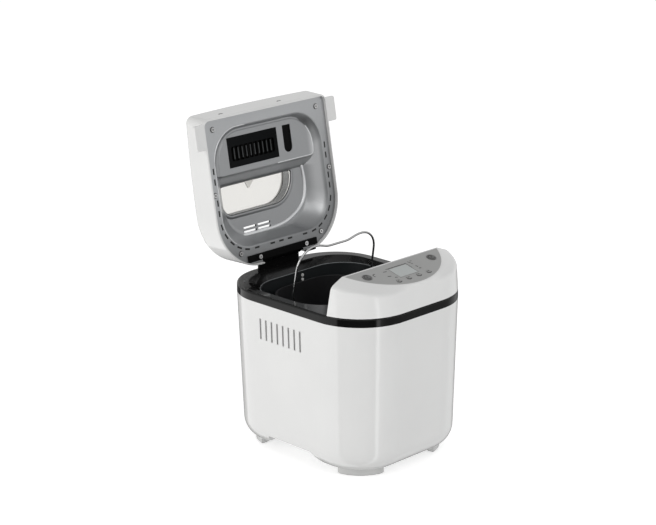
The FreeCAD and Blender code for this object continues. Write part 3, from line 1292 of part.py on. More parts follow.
doc.recompute()
for item in doc.Objects:
    if "Invalid" in item.State or "Error" in item.State:
        raise RuntimeError(f"{item.Label} did not build")
os.makedirs("parts", exist_ok=True)
for item in nodes:
    if item.Shape.isNull() or not item.Shape.isValid():
        raise RuntimeError(f"{item.Label} has no valid shape")
for item in nodes:
    item.Shape.exportStep(f"parts/{item.Label}.step")
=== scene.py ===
import math

import bmesh
import bpy
from mathutils import Matrix, Vector


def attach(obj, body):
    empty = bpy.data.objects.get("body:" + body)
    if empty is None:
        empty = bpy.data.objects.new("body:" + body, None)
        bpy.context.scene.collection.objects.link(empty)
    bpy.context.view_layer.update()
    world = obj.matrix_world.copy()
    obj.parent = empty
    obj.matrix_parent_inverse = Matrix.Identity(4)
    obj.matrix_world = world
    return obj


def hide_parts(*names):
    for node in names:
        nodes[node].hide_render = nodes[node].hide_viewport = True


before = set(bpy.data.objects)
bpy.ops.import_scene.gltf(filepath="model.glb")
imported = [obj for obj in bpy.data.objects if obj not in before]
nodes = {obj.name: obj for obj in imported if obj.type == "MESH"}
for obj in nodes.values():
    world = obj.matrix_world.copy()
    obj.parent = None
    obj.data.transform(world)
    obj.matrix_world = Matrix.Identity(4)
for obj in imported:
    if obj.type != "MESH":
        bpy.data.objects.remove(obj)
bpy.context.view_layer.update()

MM = 0.001


def mm(x, y, z):
    """A point in millimetres as metres."""
    return Vector((x, y, z)) * MM


# Frames of the housing, the lid and the control panel, as the solids have them.
# Pieces of the lid are drawn with it closed, and its frame turns them to the open lid.
HOUSING = Matrix.Translation(mm(0, -31, -3.5))
HINGE = mm(0, 140.6, 258.4)
OPENING = Matrix.Rotation(math.radians(-99.9), 4, "X")
LID = HOUSING @ Matrix.Translation(HINGE) @ OPENING @ Matrix.Translation(-HINGE)
PANEL_PLACE = (0, -86, 294)
PANEL_TILT = Matrix.Rotation(math.radians(14), 4, "X")
PANEL = HOUSING @ Matrix.Translation(mm(*PANEL_PLACE)) @ PANEL_TILT

# Sizes of pieces are in millimetres. Those of finishes, patterns, lights and floor are in metres.
# Heights of the closed lid's liner: its flange, the ledge with the vent, and the recess
FLANGE_Z = 249.5
LEDGE_Z = 256.5
POCKET_Z = 273.0

# The housing's outline from above, its leaning side walls and the top of its collar
HALF = 122.5
FRONT = -146.5
CORNER_R = 81.0
SHELL_TOP = 231
SHELL_LEAN = math.tan(math.radians(1.6))
COLLAR_TOP = 243.5

# Places of the keys across the panel
LARGE_KEYS = {"menu_key": -65, "start_key": 65}
SMALL_KEYS = {"program_key": -30, "crust_key": -10, "size_key": 10, "timer_key": 30}


# Finishes

# A Mix node's own numbers for the sockets of its colours
MIX_FACTOR, MIX_FIRST, MIX_SECOND = 0, 6, 7
MIX_COLOUR = 2


class Signal:
    """One output of a node, ready for arithmetic with numbers and other signals."""

    def __init__(self, finish, socket):
        self.finish = finish
        self.socket = socket

    def maths(self, operation, first, second):
        return self.finish.node("ShaderNodeMath", {"operation": operation}, {0: first, 1: second})

    def __add__(self, other):
        return self.maths("ADD", self, other)

    def __radd__(self, other):
        return self.maths("ADD", other, self)

    def __sub__(self, other):
        return self.maths("SUBTRACT", self, other)

    def __rsub__(self, other):
        return self.maths("SUBTRACT", other, self)

    def __mul__(self, other):
        return self.maths("MULTIPLY", self, other)

    def __rmul__(self, other):
        return self.maths("MULTIPLY", other, self)


class Finish:
    """A material, or the surroundings, built from nodes."""

    def __init__(self, name, owner=None):
        self.owner = owner or bpy.data.materials.new(name)
        self.owner.use_nodes = True
        self.tree = self.owner.node_tree
        self.shader = self.tree.nodes.get("Principled BSDF") or self.tree.nodes.get("Background")

    def node(self, kind, settings=None, inputs=None, out=0):
        """A new node with its settings made first and its sockets set or linked, as a signal."""
        made = self.tree.nodes.new(kind)
        for key, value in (settings or {}).items():
            setattr(made, key, value)
        for key, value in (inputs or {}).items():
            self.put(made.inputs[key], value)
        return Signal(self, made.outputs[out])

    def put(self, socket, value):
        """Links a signal to a socket, or sets the socket's own value."""
        if isinstance(value, Signal):
            self.tree.links.new(value.socket, socket)
        elif socket.type == "RGBA":
            socket.default_value = (*value, 1)
        else:
            socket.default_value = value

    def shade(self, **values):
        """Sets or feeds the shader's sockets: base_color stands for Base Color, and so on."""
        for key, value in values.items():
            name = key.replace("_", " ").title().replace("Ior", "IOR")
            self.put(self.shader.inputs[name], value)
        return self.owner

    def place(self):
        """The point on the piece, in metres."""
        return self.node("ShaderNodeTexCoord", out="Object")

    def axis(self, which):
        """One coordinate of the point: 0 across, 1 to the rear, 2 up."""
        return self.node("ShaderNodeSeparateXYZ", inputs={0: self.place()}, out=which)

    def grain(self, scale, detail=2.0, roughness=0.5, stretch=None):
        """Soft noise from 0 to 1 with that many waves to the metre."""
        where = self.place()
        if stretch:
            where = self.node("ShaderNodeMapping", inputs={0: where, "Scale": stretch})
        return self.node(
            "ShaderNodeTexNoise",
            inputs={"Vector": where, "Scale": scale, "Detail": detail, "Roughness": roughness},
        )

    def step(self, value, low, high):
        """0 below low, 1 above high, smooth between."""
        return self.node(
            "ShaderNodeMapRange",
            {"interpolation_type": "SMOOTHSTEP"},
            {"Value": value, "From Min": low, "From Max": high},
        )

    def blend(self, mask, first, second):
        """The first colour where the mask is 0, the second where it is 1."""
        inputs = {MIX_FACTOR: mask, MIX_FIRST: first, MIX_SECOND: second}
        return self.node("ShaderNodeMix", {"data_type": "RGBA"}, inputs, out=MIX_COLOUR)

    def bump(self, height, strength, distance):
        """A surface raised by a signal, at most by a distance in metres."""
        return self.node(
            "ShaderNodeBump", inputs={"Height": height, "Strength": strength, "Distance": distance}
        )


def moulded(
    name, dark, light, roughness, spread, peel, peel_scale=520, sheen=0.5, glow=0.0, foot=None
):
    """Moulded plastic: a faint cloud in its colour, a varied gloss and an orange-peel surface.

    Painted shade darkens its lowest 40 mm, next to the floor, to a given colour.
    """
    f = Finish(name)
    cloud = f.grain(scale=9, detail=3)
    wipe = f.grain(scale=46, detail=4, roughness=0.6, stretch=(1, 1, 0.35))
    colour = f.blend(f.step(cloud, 0.3, 0.7), dark, light)
    # Painted shade: a darker colour over the lowest 40 mm, next to the floor
    if foot:
        colour = f.blend(f.step(f.axis(2), 0.008, 0.042), foot, colour)
    return f.shade(
        base_color=colour,
        roughness=roughness + spread * wipe,
        specular_ior_level=sheen,
        emission_color=light,
        emission_strength=glow,
        normal=f.bump(f.grain(peel_scale), peel, distance=0.0004),
    )


def metal(name, dark, light, roughness, spread, along, metallic=1.0, bump=0.08):
    """Metal drawn or brushed along one direction, with a cloudy tone."""
    f = Finish(name)
    lines = f.grain(scale=900, detail=3, roughness=0.6, stretch=along)
    cloud = f.grain(scale=14, detail=3)
    return f.shade(
        base_color=f.blend(f.step(lines * 0.6 + cloud * 0.4, 0.3, 0.7), dark, light),
        roughness=roughness + spread * lines,
        metallic=metallic,
        normal=f.bump(lines, bump, distance=0.0002),
    )


def sprayed_silver(name):
    """Silver paint over sheet: fine flake, a soft sheen, painted shade and painted highlights on
    the open lid.
    """
    f = Finish(name)
    flake = f.grain(scale=5200, detail=2, roughness=0.7)
    coat = f.grain(scale=22, detail=3)
    glint = f.step(flake, 0.35, 0.65)
    paint = f.blend(glint, (0.44, 0.45, 0.46), (0.53, 0.54, 0.55))
    # Darker tone of painted shade
    shade_tone = f.blend(glint, (0.20, 0.205, 0.21), (0.25, 0.255, 0.26))
    # Darker tone of the recess, as painted shade
    recess_shade_tone = f.blend(glint, (0.335, 0.342, 0.35), (0.405, 0.412, 0.42))
    # Paler tone of painted highlights
    pale = f.blend(glint, (0.68, 0.69, 0.70), (0.78, 0.79, 0.80))
    x, y, z = (f.axis(which) for which in range(3))

    # Painted shade: the flange darkens towards the hinge at its lower end, and towards its right
    height = z - 0.5 * x + 0.02 * coat
    rim = f.blend(f.step(height, 0.20, 0.45), shade_tone, paint)

    # Painted highlights make the recess pale along the ledge's lip and on its right wall, and
    # painted shade darkens it at the bottom
    lip = f.step(z, 0.366, 0.372) * (1 - f.step(z, 0.379, 0.385))
    side = f.step(x, 0.082, 0.097)
    bottom = 1 - f.step(z - 0.3 * x, 0.242, 0.290)
    walls = f.blend(lip * (1 - side) + side * 0.75, recess_shade_tone, pale)
    recess = f.blend(bottom, walls, shade_tone)

    # How far a point lies into the recess, along the open lid's thickness
    depth = y * 0.985 - z * 0.172 - 0.0641
    # The recess takes a darker tone than the flange: painted shade
    return f.shade(
        base_color=f.blend(f.step(depth, -0.0075, -0.003), rim, recess),
        roughness=0.32 + 0.08 * coat,
        metallic=0.85,
        normal=f.bump(flake, 0.06, distance=0.0001),
    )


def baked_enamel(name, dark, light, roughness, fleck):
    """A dark baked coating with a fine speckle."""
    f = Finish(name)
    speck = f.grain(scale=2600, detail=2, roughness=0.7)
    cloud = f.grain(scale=18, detail=3)
    mottle = f.step(speck, 0.55, 0.75) * fleck + cloud * (1 - fleck) * 0.6
    return f.shade(
        base_color=f.blend(mottle, dark, light),
        roughness=roughness + 0.12 * cloud,
        normal=f.bump(speck, 0.12, distance=0.0002),
    )


def clear_plate(name, tint, roughness):
    """A clear sheet with a faint haze in its gloss."""
    f = Finish(name)
    haze = f.grain(scale=30, detail=3)
    return f.shade(
        base_color=tint,
        roughness=roughness + 0.05 * haze,
        transmission_weight=1.0,
        ior=1.25,
    )


# Finishes of the record's slots
# White plastic, with painted shade over its lowest 40 mm
white_plastic = moulded(
    "white_plastic", (0.68, 0.682, 0.678), (0.70, 0.702, 0.697),
    roughness=0.05, spread=0.05, peel=0.015, foot=(0.55, 0.552, 0.548),
)
black_plastic = moulded(
    "black_plastic", (0.004, 0.004, 0.004), (0.007, 0.007, 0.007),
    roughness=0.06, spread=0.06, peel=0.02, sheen=0.25,
)
black_rubber = moulded(
    "black_rubber", (0.020, 0.020, 0.020), (0.035, 0.035, 0.034),
    roughness=0.65, spread=0.2, peel=0.3, peel_scale=900,
)
panel_grey = moulded(
    "panel_grey", (0.325, 0.327, 0.322), (0.355, 0.357, 0.352),
    roughness=0.30, spread=0.1, peel=0.08, peel_scale=1500,
)
key_grey = moulded(
    "key_grey", (0.10, 0.10, 0.099), (0.125, 0.125, 0.123),
    roughness=0.3, spread=0.1, peel=0.05, peel_scale=1500,
)
silver_liner = sprayed_silver("silver_liner")
oven_metal = baked_enamel(
    "oven_metal", (0.009, 0.011, 0.012), (0.030, 0.035, 0.038),
    roughness=0.34, fleck=0.3,
)
nonstick_metal = baked_enamel(
    "nonstick_metal", (0.008, 0.008, 0.009), (0.03, 0.03, 0.032),
    roughness=0.38, fleck=0.4,
)
bright_steel = metal(
    "bright_steel", (0.50, 0.50, 0.50), (0.66, 0.66, 0.66),
    roughness=0.16, spread=0.16, along=(1, 1, 0.05),
)
plain_steel = metal(
    "plain_steel", (0.40, 0.41, 0.42), (0.55, 0.56, 0.57),
    roughness=0.34, spread=0.2, along=(0.04, 1, 1),
)
heater_metal = metal(
    "heater_metal", (0.06, 0.055, 0.05), (0.16, 0.15, 0.14),
    roughness=0.5, spread=0.2, along=(1, 1, 1), metallic=0.7,
)
bearing_bronze = metal(
    "bearing_bronze", (0.42, 0.30, 0.14), (0.58, 0.44, 0.22),
    roughness=0.28, spread=0.15, along=(1, 1, 0.1),
)
motor_metal = metal(
    "motor_metal", (0.20, 0.21, 0.22), (0.34, 0.35, 0.36),
    roughness=0.4, spread=0.15, along=(0.05, 0.05, 1), metallic=0.8,
)
white_ceramic = moulded(
    "white_ceramic", (0.72, 0.70, 0.65), (0.80, 0.78, 0.74),
    roughness=0.55, spread=0.2, peel=0.15, peel_scale=1400,
)
pulley_plastic = moulded(
    "pulley_plastic", (0.07, 0.07, 0.07), (0.11, 0.11, 0.11),
    roughness=0.5, spread=0.1, peel=0.1, peel_scale=900,
)
board_green = moulded(
    "board_green", (0.02, 0.11, 0.05), (0.035, 0.16, 0.075),
    roughness=0.35, spread=0.15, peel=0.05, peel_scale=1200,
)
component_black = moulded(
    "component_black", (0.02, 0.02, 0.02), (0.05, 0.05, 0.05),
    roughness=0.5, spread=0.15, peel=0.1, peel_scale=1200,
)
clear_display = moulded(
    "clear_display", (0.43, 0.455, 0.45), (0.46, 0.485, 0.478),
    roughness=0.12, spread=0.05, peel=0.01,
)
clear_window = clear_plate("clear_window", (0.86, 0.855, 0.84), roughness=0.04)

# Finishes of trim and small pieces
print_grey = moulded(
    "print_grey", (0.040, 0.040, 0.039), (0.060, 0.060, 0.058),
    roughness=0.5, spread=0.1, peel=0.05, peel_scale=1500,
)
grille_black = moulded(
    "grille_black", (0.002, 0.002, 0.002), (0.004, 0.004, 0.004),
    roughness=0.45, spread=0.1, peel=0.05, peel_scale=900, sheen=0.05,
)
# The sensor's rivets: pale plastic in place of steel, as painted highlights
highlight_rivet = moulded(
    "highlight_rivet", (0.74, 0.74, 0.73), (0.84, 0.84, 0.83),
    roughness=0.3, spread=0.1, peel=0.05, peel_scale=1500,
)
# Steel for the deck stud, and for the oven's lip, where its lighter tone is a painted highlight
lip_steel = metal(
    "lip_steel", (0.13, 0.14, 0.145), (0.22, 0.235, 0.24),
    roughness=0.3, spread=0.15, along=(1, 1, 1), metallic=0.6,
)
# A little paler than the vent's black: a painted highlight on its ribs
rib_highlight_grey = moulded(
    "rib_highlight_grey", (0.016, 0.019, 0.020), (0.026, 0.029, 0.031),
    roughness=0.45, spread=0.1, peel=0.05, peel_scale=1200,
)
panel_edge = moulded(
    "panel_edge", (0.21, 0.21, 0.205), (0.235, 0.235, 0.23),
    roughness=0.4, spread=0.1, peel=0.05, peel_scale=1500,
)
# Glows though it is no lamp: painted light seen through the lid's steam slots
slot_light_white = moulded(
    "slot_light_white", (0.86, 0.86, 0.86), (0.93, 0.93, 0.93),
    roughness=0.4, spread=0.1, peel=0.05, glow=0.55,
)
# Grey for the vent baffle, and for the vent rims, where it is painted shade
baffle_grey = moulded(
    "baffle_grey", (0.45, 0.45, 0.445), (0.50, 0.50, 0.495),
    roughness=0.5, spread=0.1, peel=0.05,
)
# A brighter copy of the liner's silver for its beads: a painted highlight along them
highlight_silver = metal(
    "highlight_silver", (0.72, 0.73, 0.74), (0.86, 0.87, 0.88),
    roughness=0.24, spread=0.1, along=(1, 1, 1), metallic=0.8, bump=0.03,
)
console_white = moulded(
    "console_white", (0.715, 0.717, 0.713), (0.735, 0.737, 0.732),
    roughness=0.05, spread=0.05, peel=0.015,
)
# The feet: a darker copy of the white plastic, as painted shade
shaded_foot_white = moulded(
    "shaded_foot_white", (0.50, 0.502, 0.498), (0.54, 0.542, 0.537),
    roughness=0.3, spread=0.1, peel=0.03,
)
pad_grey = moulded(
    "pad_grey", (0.36, 0.36, 0.355), (0.42, 0.42, 0.415),
    roughness=0.6, spread=0.2, peel=0.2, peel_scale=900,
)
small_key_grey = moulded(
    "small_key_grey", (0.265, 0.267, 0.262), (0.29, 0.292, 0.287),
    roughness=0.3, spread=0.1, peel=0.05, peel_scale=1500,
)
tray_black = moulded(
    "tray_black", (0.005, 0.0055, 0.006), (0.008, 0.0085, 0.009),
    roughness=0.6, spread=0.1, peel=0.05, peel_scale=900, sheen=0.03,
)
shadow_black = moulded(
    "shadow_black", (0.006, 0.006, 0.006), (0.012, 0.012, 0.012),
    roughness=0.5, spread=0.1, peel=0.05,
)

finishes = {
    "white_plastic": white_plastic, "black_plastic": black_plastic, "oven_metal": oven_metal,
    "nonstick_metal": nonstick_metal, "bright_steel": bright_steel, "plain_steel": plain_steel,
    "heater_metal": heater_metal, "silver_liner": silver_liner, "black_rubber": black_rubber,
    "white_ceramic": white_ceramic, "bearing_bronze": bearing_bronze, "motor_metal": motor_metal,
    "pulley_plastic": pulley_plastic, "board_green": board_green,
    "component_black": component_black, "panel_grey": panel_grey, "key_grey": key_grey,
    "clear_display": clear_display, "clear_window": clear_window,
}
for node in nodes.values():
    for place in node.material_slots:
        place.material = finishes[place.material.name.split(".")[0]]
own_finishes = {
    "vent_grille": grille_black, "hinge_bracket": grille_black, "hinge_block": grille_black,
    "sensor_rivets": highlight_rivet, "feet": shaded_foot_white, "foot_pads": pad_grey,
}
own_finishes.update((key, small_key_grey) for key in SMALL_KEYS)
for name, finish in own_finishes.items():
    nodes[name].material_slots[0].material = finish


# Making pieces


def settle(mesh, name, matrix, finish, body, corner=40):
    """Names a mesh, puts it in its place, closes and shades it, and lets it ride on a body."""
    mesh.transform(matrix)
    work = bmesh.new()
    work.from_mesh(mesh)
    bmesh.ops.remove_doubles(work, verts=work.verts, dist=1e-7)
    bmesh.ops.recalc_face_normals(work, faces=work.faces)
    work.to_mesh(mesh)
    work.free()
    mesh.name = name
    mesh.materials.clear()
    mesh.materials.append(finish)
    mesh.shade_smooth()
    mesh.set_sharp_from_angle(angle=math.radians(corner))
    piece = bpy.data.objects.new(name, mesh)
    bpy.context.scene.collection.objects.link(piece)
    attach(piece, body)
    return piece


def net(rings, capped=False):
    """Vertices and faces of a surface through closed rings of equally many points."""
    count = len(rings[0])
    verts = [p for ring in rings for p in ring]
    last = len(verts) - count
    faces = []
    for start in range(0, last, count):
        for k in range(count):
            a = start + k
            b = start + (k + 1) % count
            faces.append((a, b, b + count, a + count))
    if capped:
        faces.append(tuple(reversed(range(count))))
        faces.append(tuple(range(last, len(verts))))
    return verts, faces


def hoop(rings):
    """A closed frame: a surface through rings that comes back to the first one."""
    return net(rings + rings[:1])


def mesh_of(parts):
    """One mesh, in metres, from lists of vertices in millimetres and faces."""
    verts = []
    faces = []
    for points, corners in parts:
        start = len(verts)
        verts += [mm(*p) for p in points]
        faces += [tuple(start + i for i in face) for face in corners]
    mesh = bpy.data.meshes.new("piece")
    mesh.from_pydata(verts, [], faces)
    return mesh


def beside(p, before, after, amount):
    """A point moved to the right of the path that runs from one point before it to one after."""
    along = (Vector(after) - Vector(before)).normalized()
    return (p[0] + along.y * amount, p[1] - along.x * amount)


def grown(points, amount):
    """A flat outline that runs anticlockwise, moved outwards by an amount."""
    after = points[1:] + points[:1]
    return [beside(p, points[i - 1], after[i], amount) for i, p in enumerate(points)]


def band(path, width):
    """The outline of a stripe of that width along an open path."""
    before = path[:1] + path[:-1]
    after = path[1:] + path[-1:]
    right, left = (
        [beside(*three, amount) for three in zip(path, before, after)]
        for amount in (width / 2, -width / 2)
    )
    return right + left[::-1]


def slab(points, low, high, ease=0.0):
    """A plate over an outline that runs anticlockwise, with its upper edge eased."""
    edge = high - math.copysign(ease, high - low)
    rings = [[(x, y, z) for x, y in points] for z in (low, edge)]
    if ease:
        rings.append([(x, y, high) for x, y in grown(points, -ease)])
    return net(rings, capped=True)


def turn_path(x, y, r, start, end, steps=24):
    """An arc about a point, from one angle in degrees to another."""
    angles = [math.radians(start + (end - start) * i / steps) for i in range(steps + 1)]
    return [(x + r * math.cos(a), y + r * math.sin(a)) for a in angles]


def oblong(x0, x1, y0, y1):
    """A rectangle, anticlockwise."""
    return [(x0, y0), (x1, y0), (x1, y1), (x0, y1)]


def rounded(x0, x1, y0, y1, radii, steps):
    """A rectangle with round corners, anticlockwise from its front right corner."""
    corners = ((x1, y0, -1, 1), (x1, y1, -1, -1), (x0, y1, 1, -1), (x0, y0, 1, 1))
    out = []
    for i, ((x, y, in_x, in_y), r) in enumerate(zip(corners, radii)):
        start = 90 * (i - 1)
        out += turn_path(x + in_x * r, y + in_y * r, r, start, start + 90, steps)
    return out


def curve_through(points, steps=8):
    """A smooth path through points."""
    out = []
    padded = [points[0], *points, points[-1]]
    for four in zip(padded, padded[1:], padded[2:], padded[3:]):
        a, b, c, d = (Vector(q) for q in four)
        slope = c - a
        bend = a * 2 - b * 5 + c * 4 - d
        twist = b * 3 - a - c * 3 + d
        for i in range(steps):
            t = i / steps
            out.append(tuple((b * 2 + slope * t + bend * t ** 2 + twist * t ** 3) / 2))
    out.append(tuple(points[-1]))
    return out


class Pattern:
    """A node tree that makes geometry, with its sizes as named inputs, in metres."""

    def __init__(self, name, sizes):
        self.tree = bpy.data.node_groups.new(name, "GeometryNodeTree")
        sockets = self.tree.interface
        sockets.new_socket("Geometry", in_out="INPUT", socket_type="NodeSocketGeometry")
        for size in sizes:
            sockets.new_socket(size, in_out="INPUT", socket_type="NodeSocketFloat")
        sockets.new_socket("Geometry", in_out="OUTPUT", socket_type="NodeSocketGeometry")
        self.start = self.tree.nodes.new("NodeGroupInput")
        self.end = self.tree.nodes.new("NodeGroupOutput")

    def size(self, name):
        return self.start.outputs[name]

    def node(self, kind, inputs, settings=None):
        """A new node with its settings made first and its sockets set or linked."""
        made = self.tree.nodes.new(kind)
        for key, value in (settings or {}).items():
            setattr(made, key, value)
        for key, value in inputs.items():
            if isinstance(value, bpy.types.NodeSocket):
                self.tree.links.new(value, made.inputs[key])
            else:
                made.inputs[key].default_value = value
        return made.outputs[0]

    def close(self, geometry, finish):
        """Ends the tree in real geometry with its finish."""
        real = self.node("GeometryNodeRealizeInstances", {0: geometry})
        done = self.node("GeometryNodeSetMaterial", {"Geometry": real, "Material": finish})
        self.tree.links.new(done, self.end.inputs[0])

    def run(self, guide, sizes):
        """The plain mesh that the tree makes on a guide mesh, with these sizes."""
        holder = bpy.data.objects.new("guide", guide)
        bpy.context.scene.collection.objects.link(holder)
        grow = holder.modifiers.new("pattern", "NODES")
        grow.node_group = self.tree
        for item in self.tree.interface.items_tree:
            if item.item_type == "SOCKET" and item.in_out == "INPUT" and item.name in sizes:
                grow[item.identifier] = sizes[item.name]
        ready = holder.evaluated_get(bpy.context.evaluated_depsgraph_get())
        mesh = bpy.data.meshes.new_from_object(ready)
        holder.modifiers.clear()
        bpy.data.objects.remove(holder)
        return mesh


def bar_pattern(finish):
    """A short bar with rounded edges on every point, turned about the upright by its turn."""
    p = Pattern("bars_on_points", ("Length", "Width", "Height", "Round"))
    profile = p.node(
        "GeometryNodeCurvePrimitiveQuadrilateral",
        {"Width": p.size("Width"), "Height": p.size("Height")},
    )
    profile = p.node(
        "GeometryNodeFilletCurve",
        {"Curve": profile, "Radius": p.size("Round"), "Count": 3},
        {"mode": "POLY"},
    )
    ends = []
    for share in (-0.5, 0.5):
        reach = p.node(
            "ShaderNodeMath", {0: p.size("Length"), 1: share}, {"operation": "MULTIPLY"}
        )
        ends.append(p.node("ShaderNodeCombineXYZ", {0: reach}))
    line = p.node("GeometryNodeCurvePrimitiveLine", {"Start": ends[0], "End": ends[1]})
    bar = p.node(
        "GeometryNodeCurveToMesh", {"Curve": line, "Profile Curve": profile, "Fill Caps": True}
    )
    angle = p.node("GeometryNodeInputNamedAttribute", {"Name": "turn"}, {"data_type": "FLOAT"})
    turn = p.node("ShaderNodeCombineXYZ", {2: angle})
    bars = p.node(
        "GeometryNodeInstanceOnPoints",
        {"Points": p.start.outputs[0], "Instance": bar, "Rotation": turn},
    )
    p.close(bars, finish)
    return p


def bead_pattern(finish):
    """A round bead along the guide's edges."""
    p = Pattern("bead_on_path", ("Radius",))
    path = p.node("GeometryNodeMeshToCurve", {"Mesh": p.start.outputs[0]})
    profile = p.node(
        "GeometryNodeCurvePrimitiveCircle", {"Resolution": 14, "Radius": p.size("Radius")}
    )
    bead = p.node(
        "GeometryNodeCurveToMesh", {"Curve": path, "Profile Curve": profile, "Fill Caps": True}
    )
    p.close(bead, finish)
    return p


def add_lid_bars(name, spots, finish, sizes):
    """Bars on the lid, one at each spot, which is a point and a turn in degrees."""
    guide = bpy.data.meshes.new("guide")
    guide.from_pydata([mm(*spot[:3]) for spot in spots], [], [])
    turns = guide.attributes.new("turn", "FLOAT", "POINT")
    for i, spot in enumerate(spots):
        turns.data[i].value = math.radians(spot[3])
    settle(bar_pattern(finish).run(guide, sizes), name, LID, finish, "lid")


def add_bead(name, path, radius, finish, matrix=LID, body="lid"):
    """A round bead along a path, with its radius in metres."""
    guide = bpy.data.meshes.new("guide")
    edges = [(i, i + 1) for i in range(len(path) - 1)]
    guide.from_pydata([mm(*q) for q in path], edges, [])
    mesh = bead_pattern(finish).run(guide, {"Radius": radius})
    settle(mesh, name, matrix, finish, body)


# Lid: slit backs, the vent's front and ribs, ridges and rims of the liner, the ledge's cove,
# the window's frame, screw heads, steam slots, a skirt at the hinge and marks on the front

# Rim slits: rows along both sides, which skip a screw, and along the rear, and round the corners
SLIT_HALF = 111
SLIT_REAR = 120.5
SLIT_CORNER_R = 55
SLIT_FRONT = -2
SLIT_PITCH = 15.2
slit_spots = [(0, SLIT_REAR, 0)]
for side in (-1, 1):
    for row in (0, 1, 3, 4):
        slit_spots.append((side * SLIT_HALF, SLIT_FRONT + row * SLIT_PITCH, 90))
    for row in range(5):
        angle = 14 + 16 * row
        turn = math.radians(angle)
        across = SLIT_HALF - SLIT_CORNER_R + SLIT_CORNER_R * math.cos(turn)
        rear = SLIT_REAR - SLIT_CORNER_R + SLIT_CORNER_R * math.sin(turn)
        slit_spots.append((side * across, rear, side * angle + 90))
    for across in (17.5, 48.5):
        slit_spots.append((side * across, SLIT_REAR, 0))
add_lid_bars(
    "slit_backs", [(x, y, FLANGE_Z + 0.12, turn) for x, y, turn in slit_spots],
    shadow_black,
    {"Length": 0.0090, "Width": 0.0027, "Height": 0.0004, "Round": 0.00015},
)

tray_edge = rounded(-73.0, 24.0, -43.0, 0.0, [1.5] * 4, 6)
tray_mouth = rounded(-67.0, 17.5, -30.0, -8.5, [4.0] * 4, 6)
TRAY_BACK = LEDGE_Z + 0.4
TRAY_FACE = LEDGE_Z - 0.15
tray_front = [
    [(x, y, z) for x, y in outline]
    for outline, z in (
        (tray_edge, TRAY_BACK), (tray_edge, TRAY_FACE),
        (tray_mouth, TRAY_FACE), (tray_mouth, TRAY_BACK),
    )
]
settle(mesh_of([hoop(tray_front)]), "vent_tray_front", LID, tray_black, "lid")

# Short ribs across the vent's middle band, paler than the vent as a painted highlight
RIB_LEFT = -61.5
RIB_PITCH = 8.0
RIB_MIDDLE = -19.5
add_lid_bars(
    "vent_ribs", [(RIB_LEFT + i * RIB_PITCH, RIB_MIDDLE, LEDGE_Z + 0.1, 90) for i in range(10)],
    rib_highlight_grey,
    {"Length": 0.016, "Width": 0.0019, "Height": 0.0008, "Round": 0.0003},
)

# A bead along the pocket's edge, in brighter silver as a painted highlight
pocket_edge = [
    (80.4, 23.5), (82.7, 46), (80.7, 64), (72.9, 79), (58, 91), (34, 100.7), (6, 104),
    (-30, 104.3), (-62, 104.3),
]
add_bead(
    "pocket_bead", curve_through([(x - 0.6, y - 0.6, POCKET_Z + 0.5) for x, y in pocket_edge]),
    0.0030, highlight_silver,
)

# The recess's mouth: a rim round its left corners that sinks into the flange at its ends, in
# brighter silver as a painted highlight
MOUTH_HALF = 107.1
MOUTH_R = 50.6
MOUTH_FRONT = -58.6
MOUTH_REAR = 117.6
MOUTH_Z = FLANGE_Z + 0.6
MOUTH_END_Z = FLANGE_Z + 1.7
mouth_turns = turn_path(MOUTH_R - MOUTH_HALF, MOUTH_R + MOUTH_FRONT, MOUTH_R, -96, -180, 12)
mouth_turns += turn_path(MOUTH_R - MOUTH_HALF, MOUTH_REAR - MOUTH_R, MOUTH_R, 180, 130, 8)
mouth_rim = [(-38, -58.4, MOUTH_END_Z), (-46, MOUTH_FRONT, MOUTH_Z)]
mouth_rim += [(x, y, MOUTH_Z) for x, y in mouth_turns]
mouth_rim.append((-82, 110.8, MOUTH_END_Z))
add_bead("mouth_rim", curve_through(mouth_rim, 3), 0.0009, highlight_silver)

# A bead along the ledge's edge, in brighter silver as a painted highlight
ledge_edge = [
    (20, 9.0), (60, 9.0), (86, 8.9), (91.6, 7.2), (93.7, 2.5), (94.0, -7), (91.4, -22),
    (83.6, -35.4),
]
add_bead(
    "ledge_bead", curve_through([(x - 0.3, y - 0.3, LEDGE_Z + 1.2) for x, y in ledge_edge]),
    0.0014, highlight_silver,
)

# The cove between the ledge and the recess's wall, which sinks away along its right end
LEDGE_REAR = 8
COVE_FADE = 34
COVE_SINK = 14


def ledge_side(half, front, r):
    """A path along the left end, the front and the right end of the ledge or the recess."""
    left = [(-half, LEDGE_REAR + (front + r - LEDGE_REAR) * i / 6) for i in range(6)]
    corner = turn_path(r - half, front + r, r, 180, 270, 14)
    straight = [(r - half + 2 * (half - r) * i / 10, front) for i in range(1, 10)]
    return left + corner + straight + turn_path(half - r, front + r, r, 270, 345, 14)


cove = []
cove_sides = list(zip(ledge_side(106.45, -57.95, 49.95), ledge_side(93.9, -51.4, 44.4)))
for i, (far, near) in enumerate(cove_sides):
    share = max(0, i - COVE_FADE) / (len(cove_sides) - 1 - COVE_FADE)
    sink = COVE_SINK * share * share * (3 - 2 * share)
    middle = [(a + b) / 2 for a, b in zip(far, near)]
    face = [
        (*far, FLANGE_Z + 2.8 + sink), (*middle, LEDGE_Z + 1.3 + sink),
        (*near, LEDGE_Z + 0.7 + sink),
    ]
    cove.append(face + [(x, y, z + 1) for x, y, z in reversed(face)])
settle(
    mesh_of([net(cove, capped=True)]),
    "ledge_cove", LID, silver_liner, "lid", 60,
)

WINDOW_LEFT, WINDOW_RIGHT = -84, 56.5
WINDOW_FRONT, WINDOW_REAR = 26, 70.5
WINDOW_CORNERS = (4, 40, 18, 4)
SURROUND_FRONT = 26.2


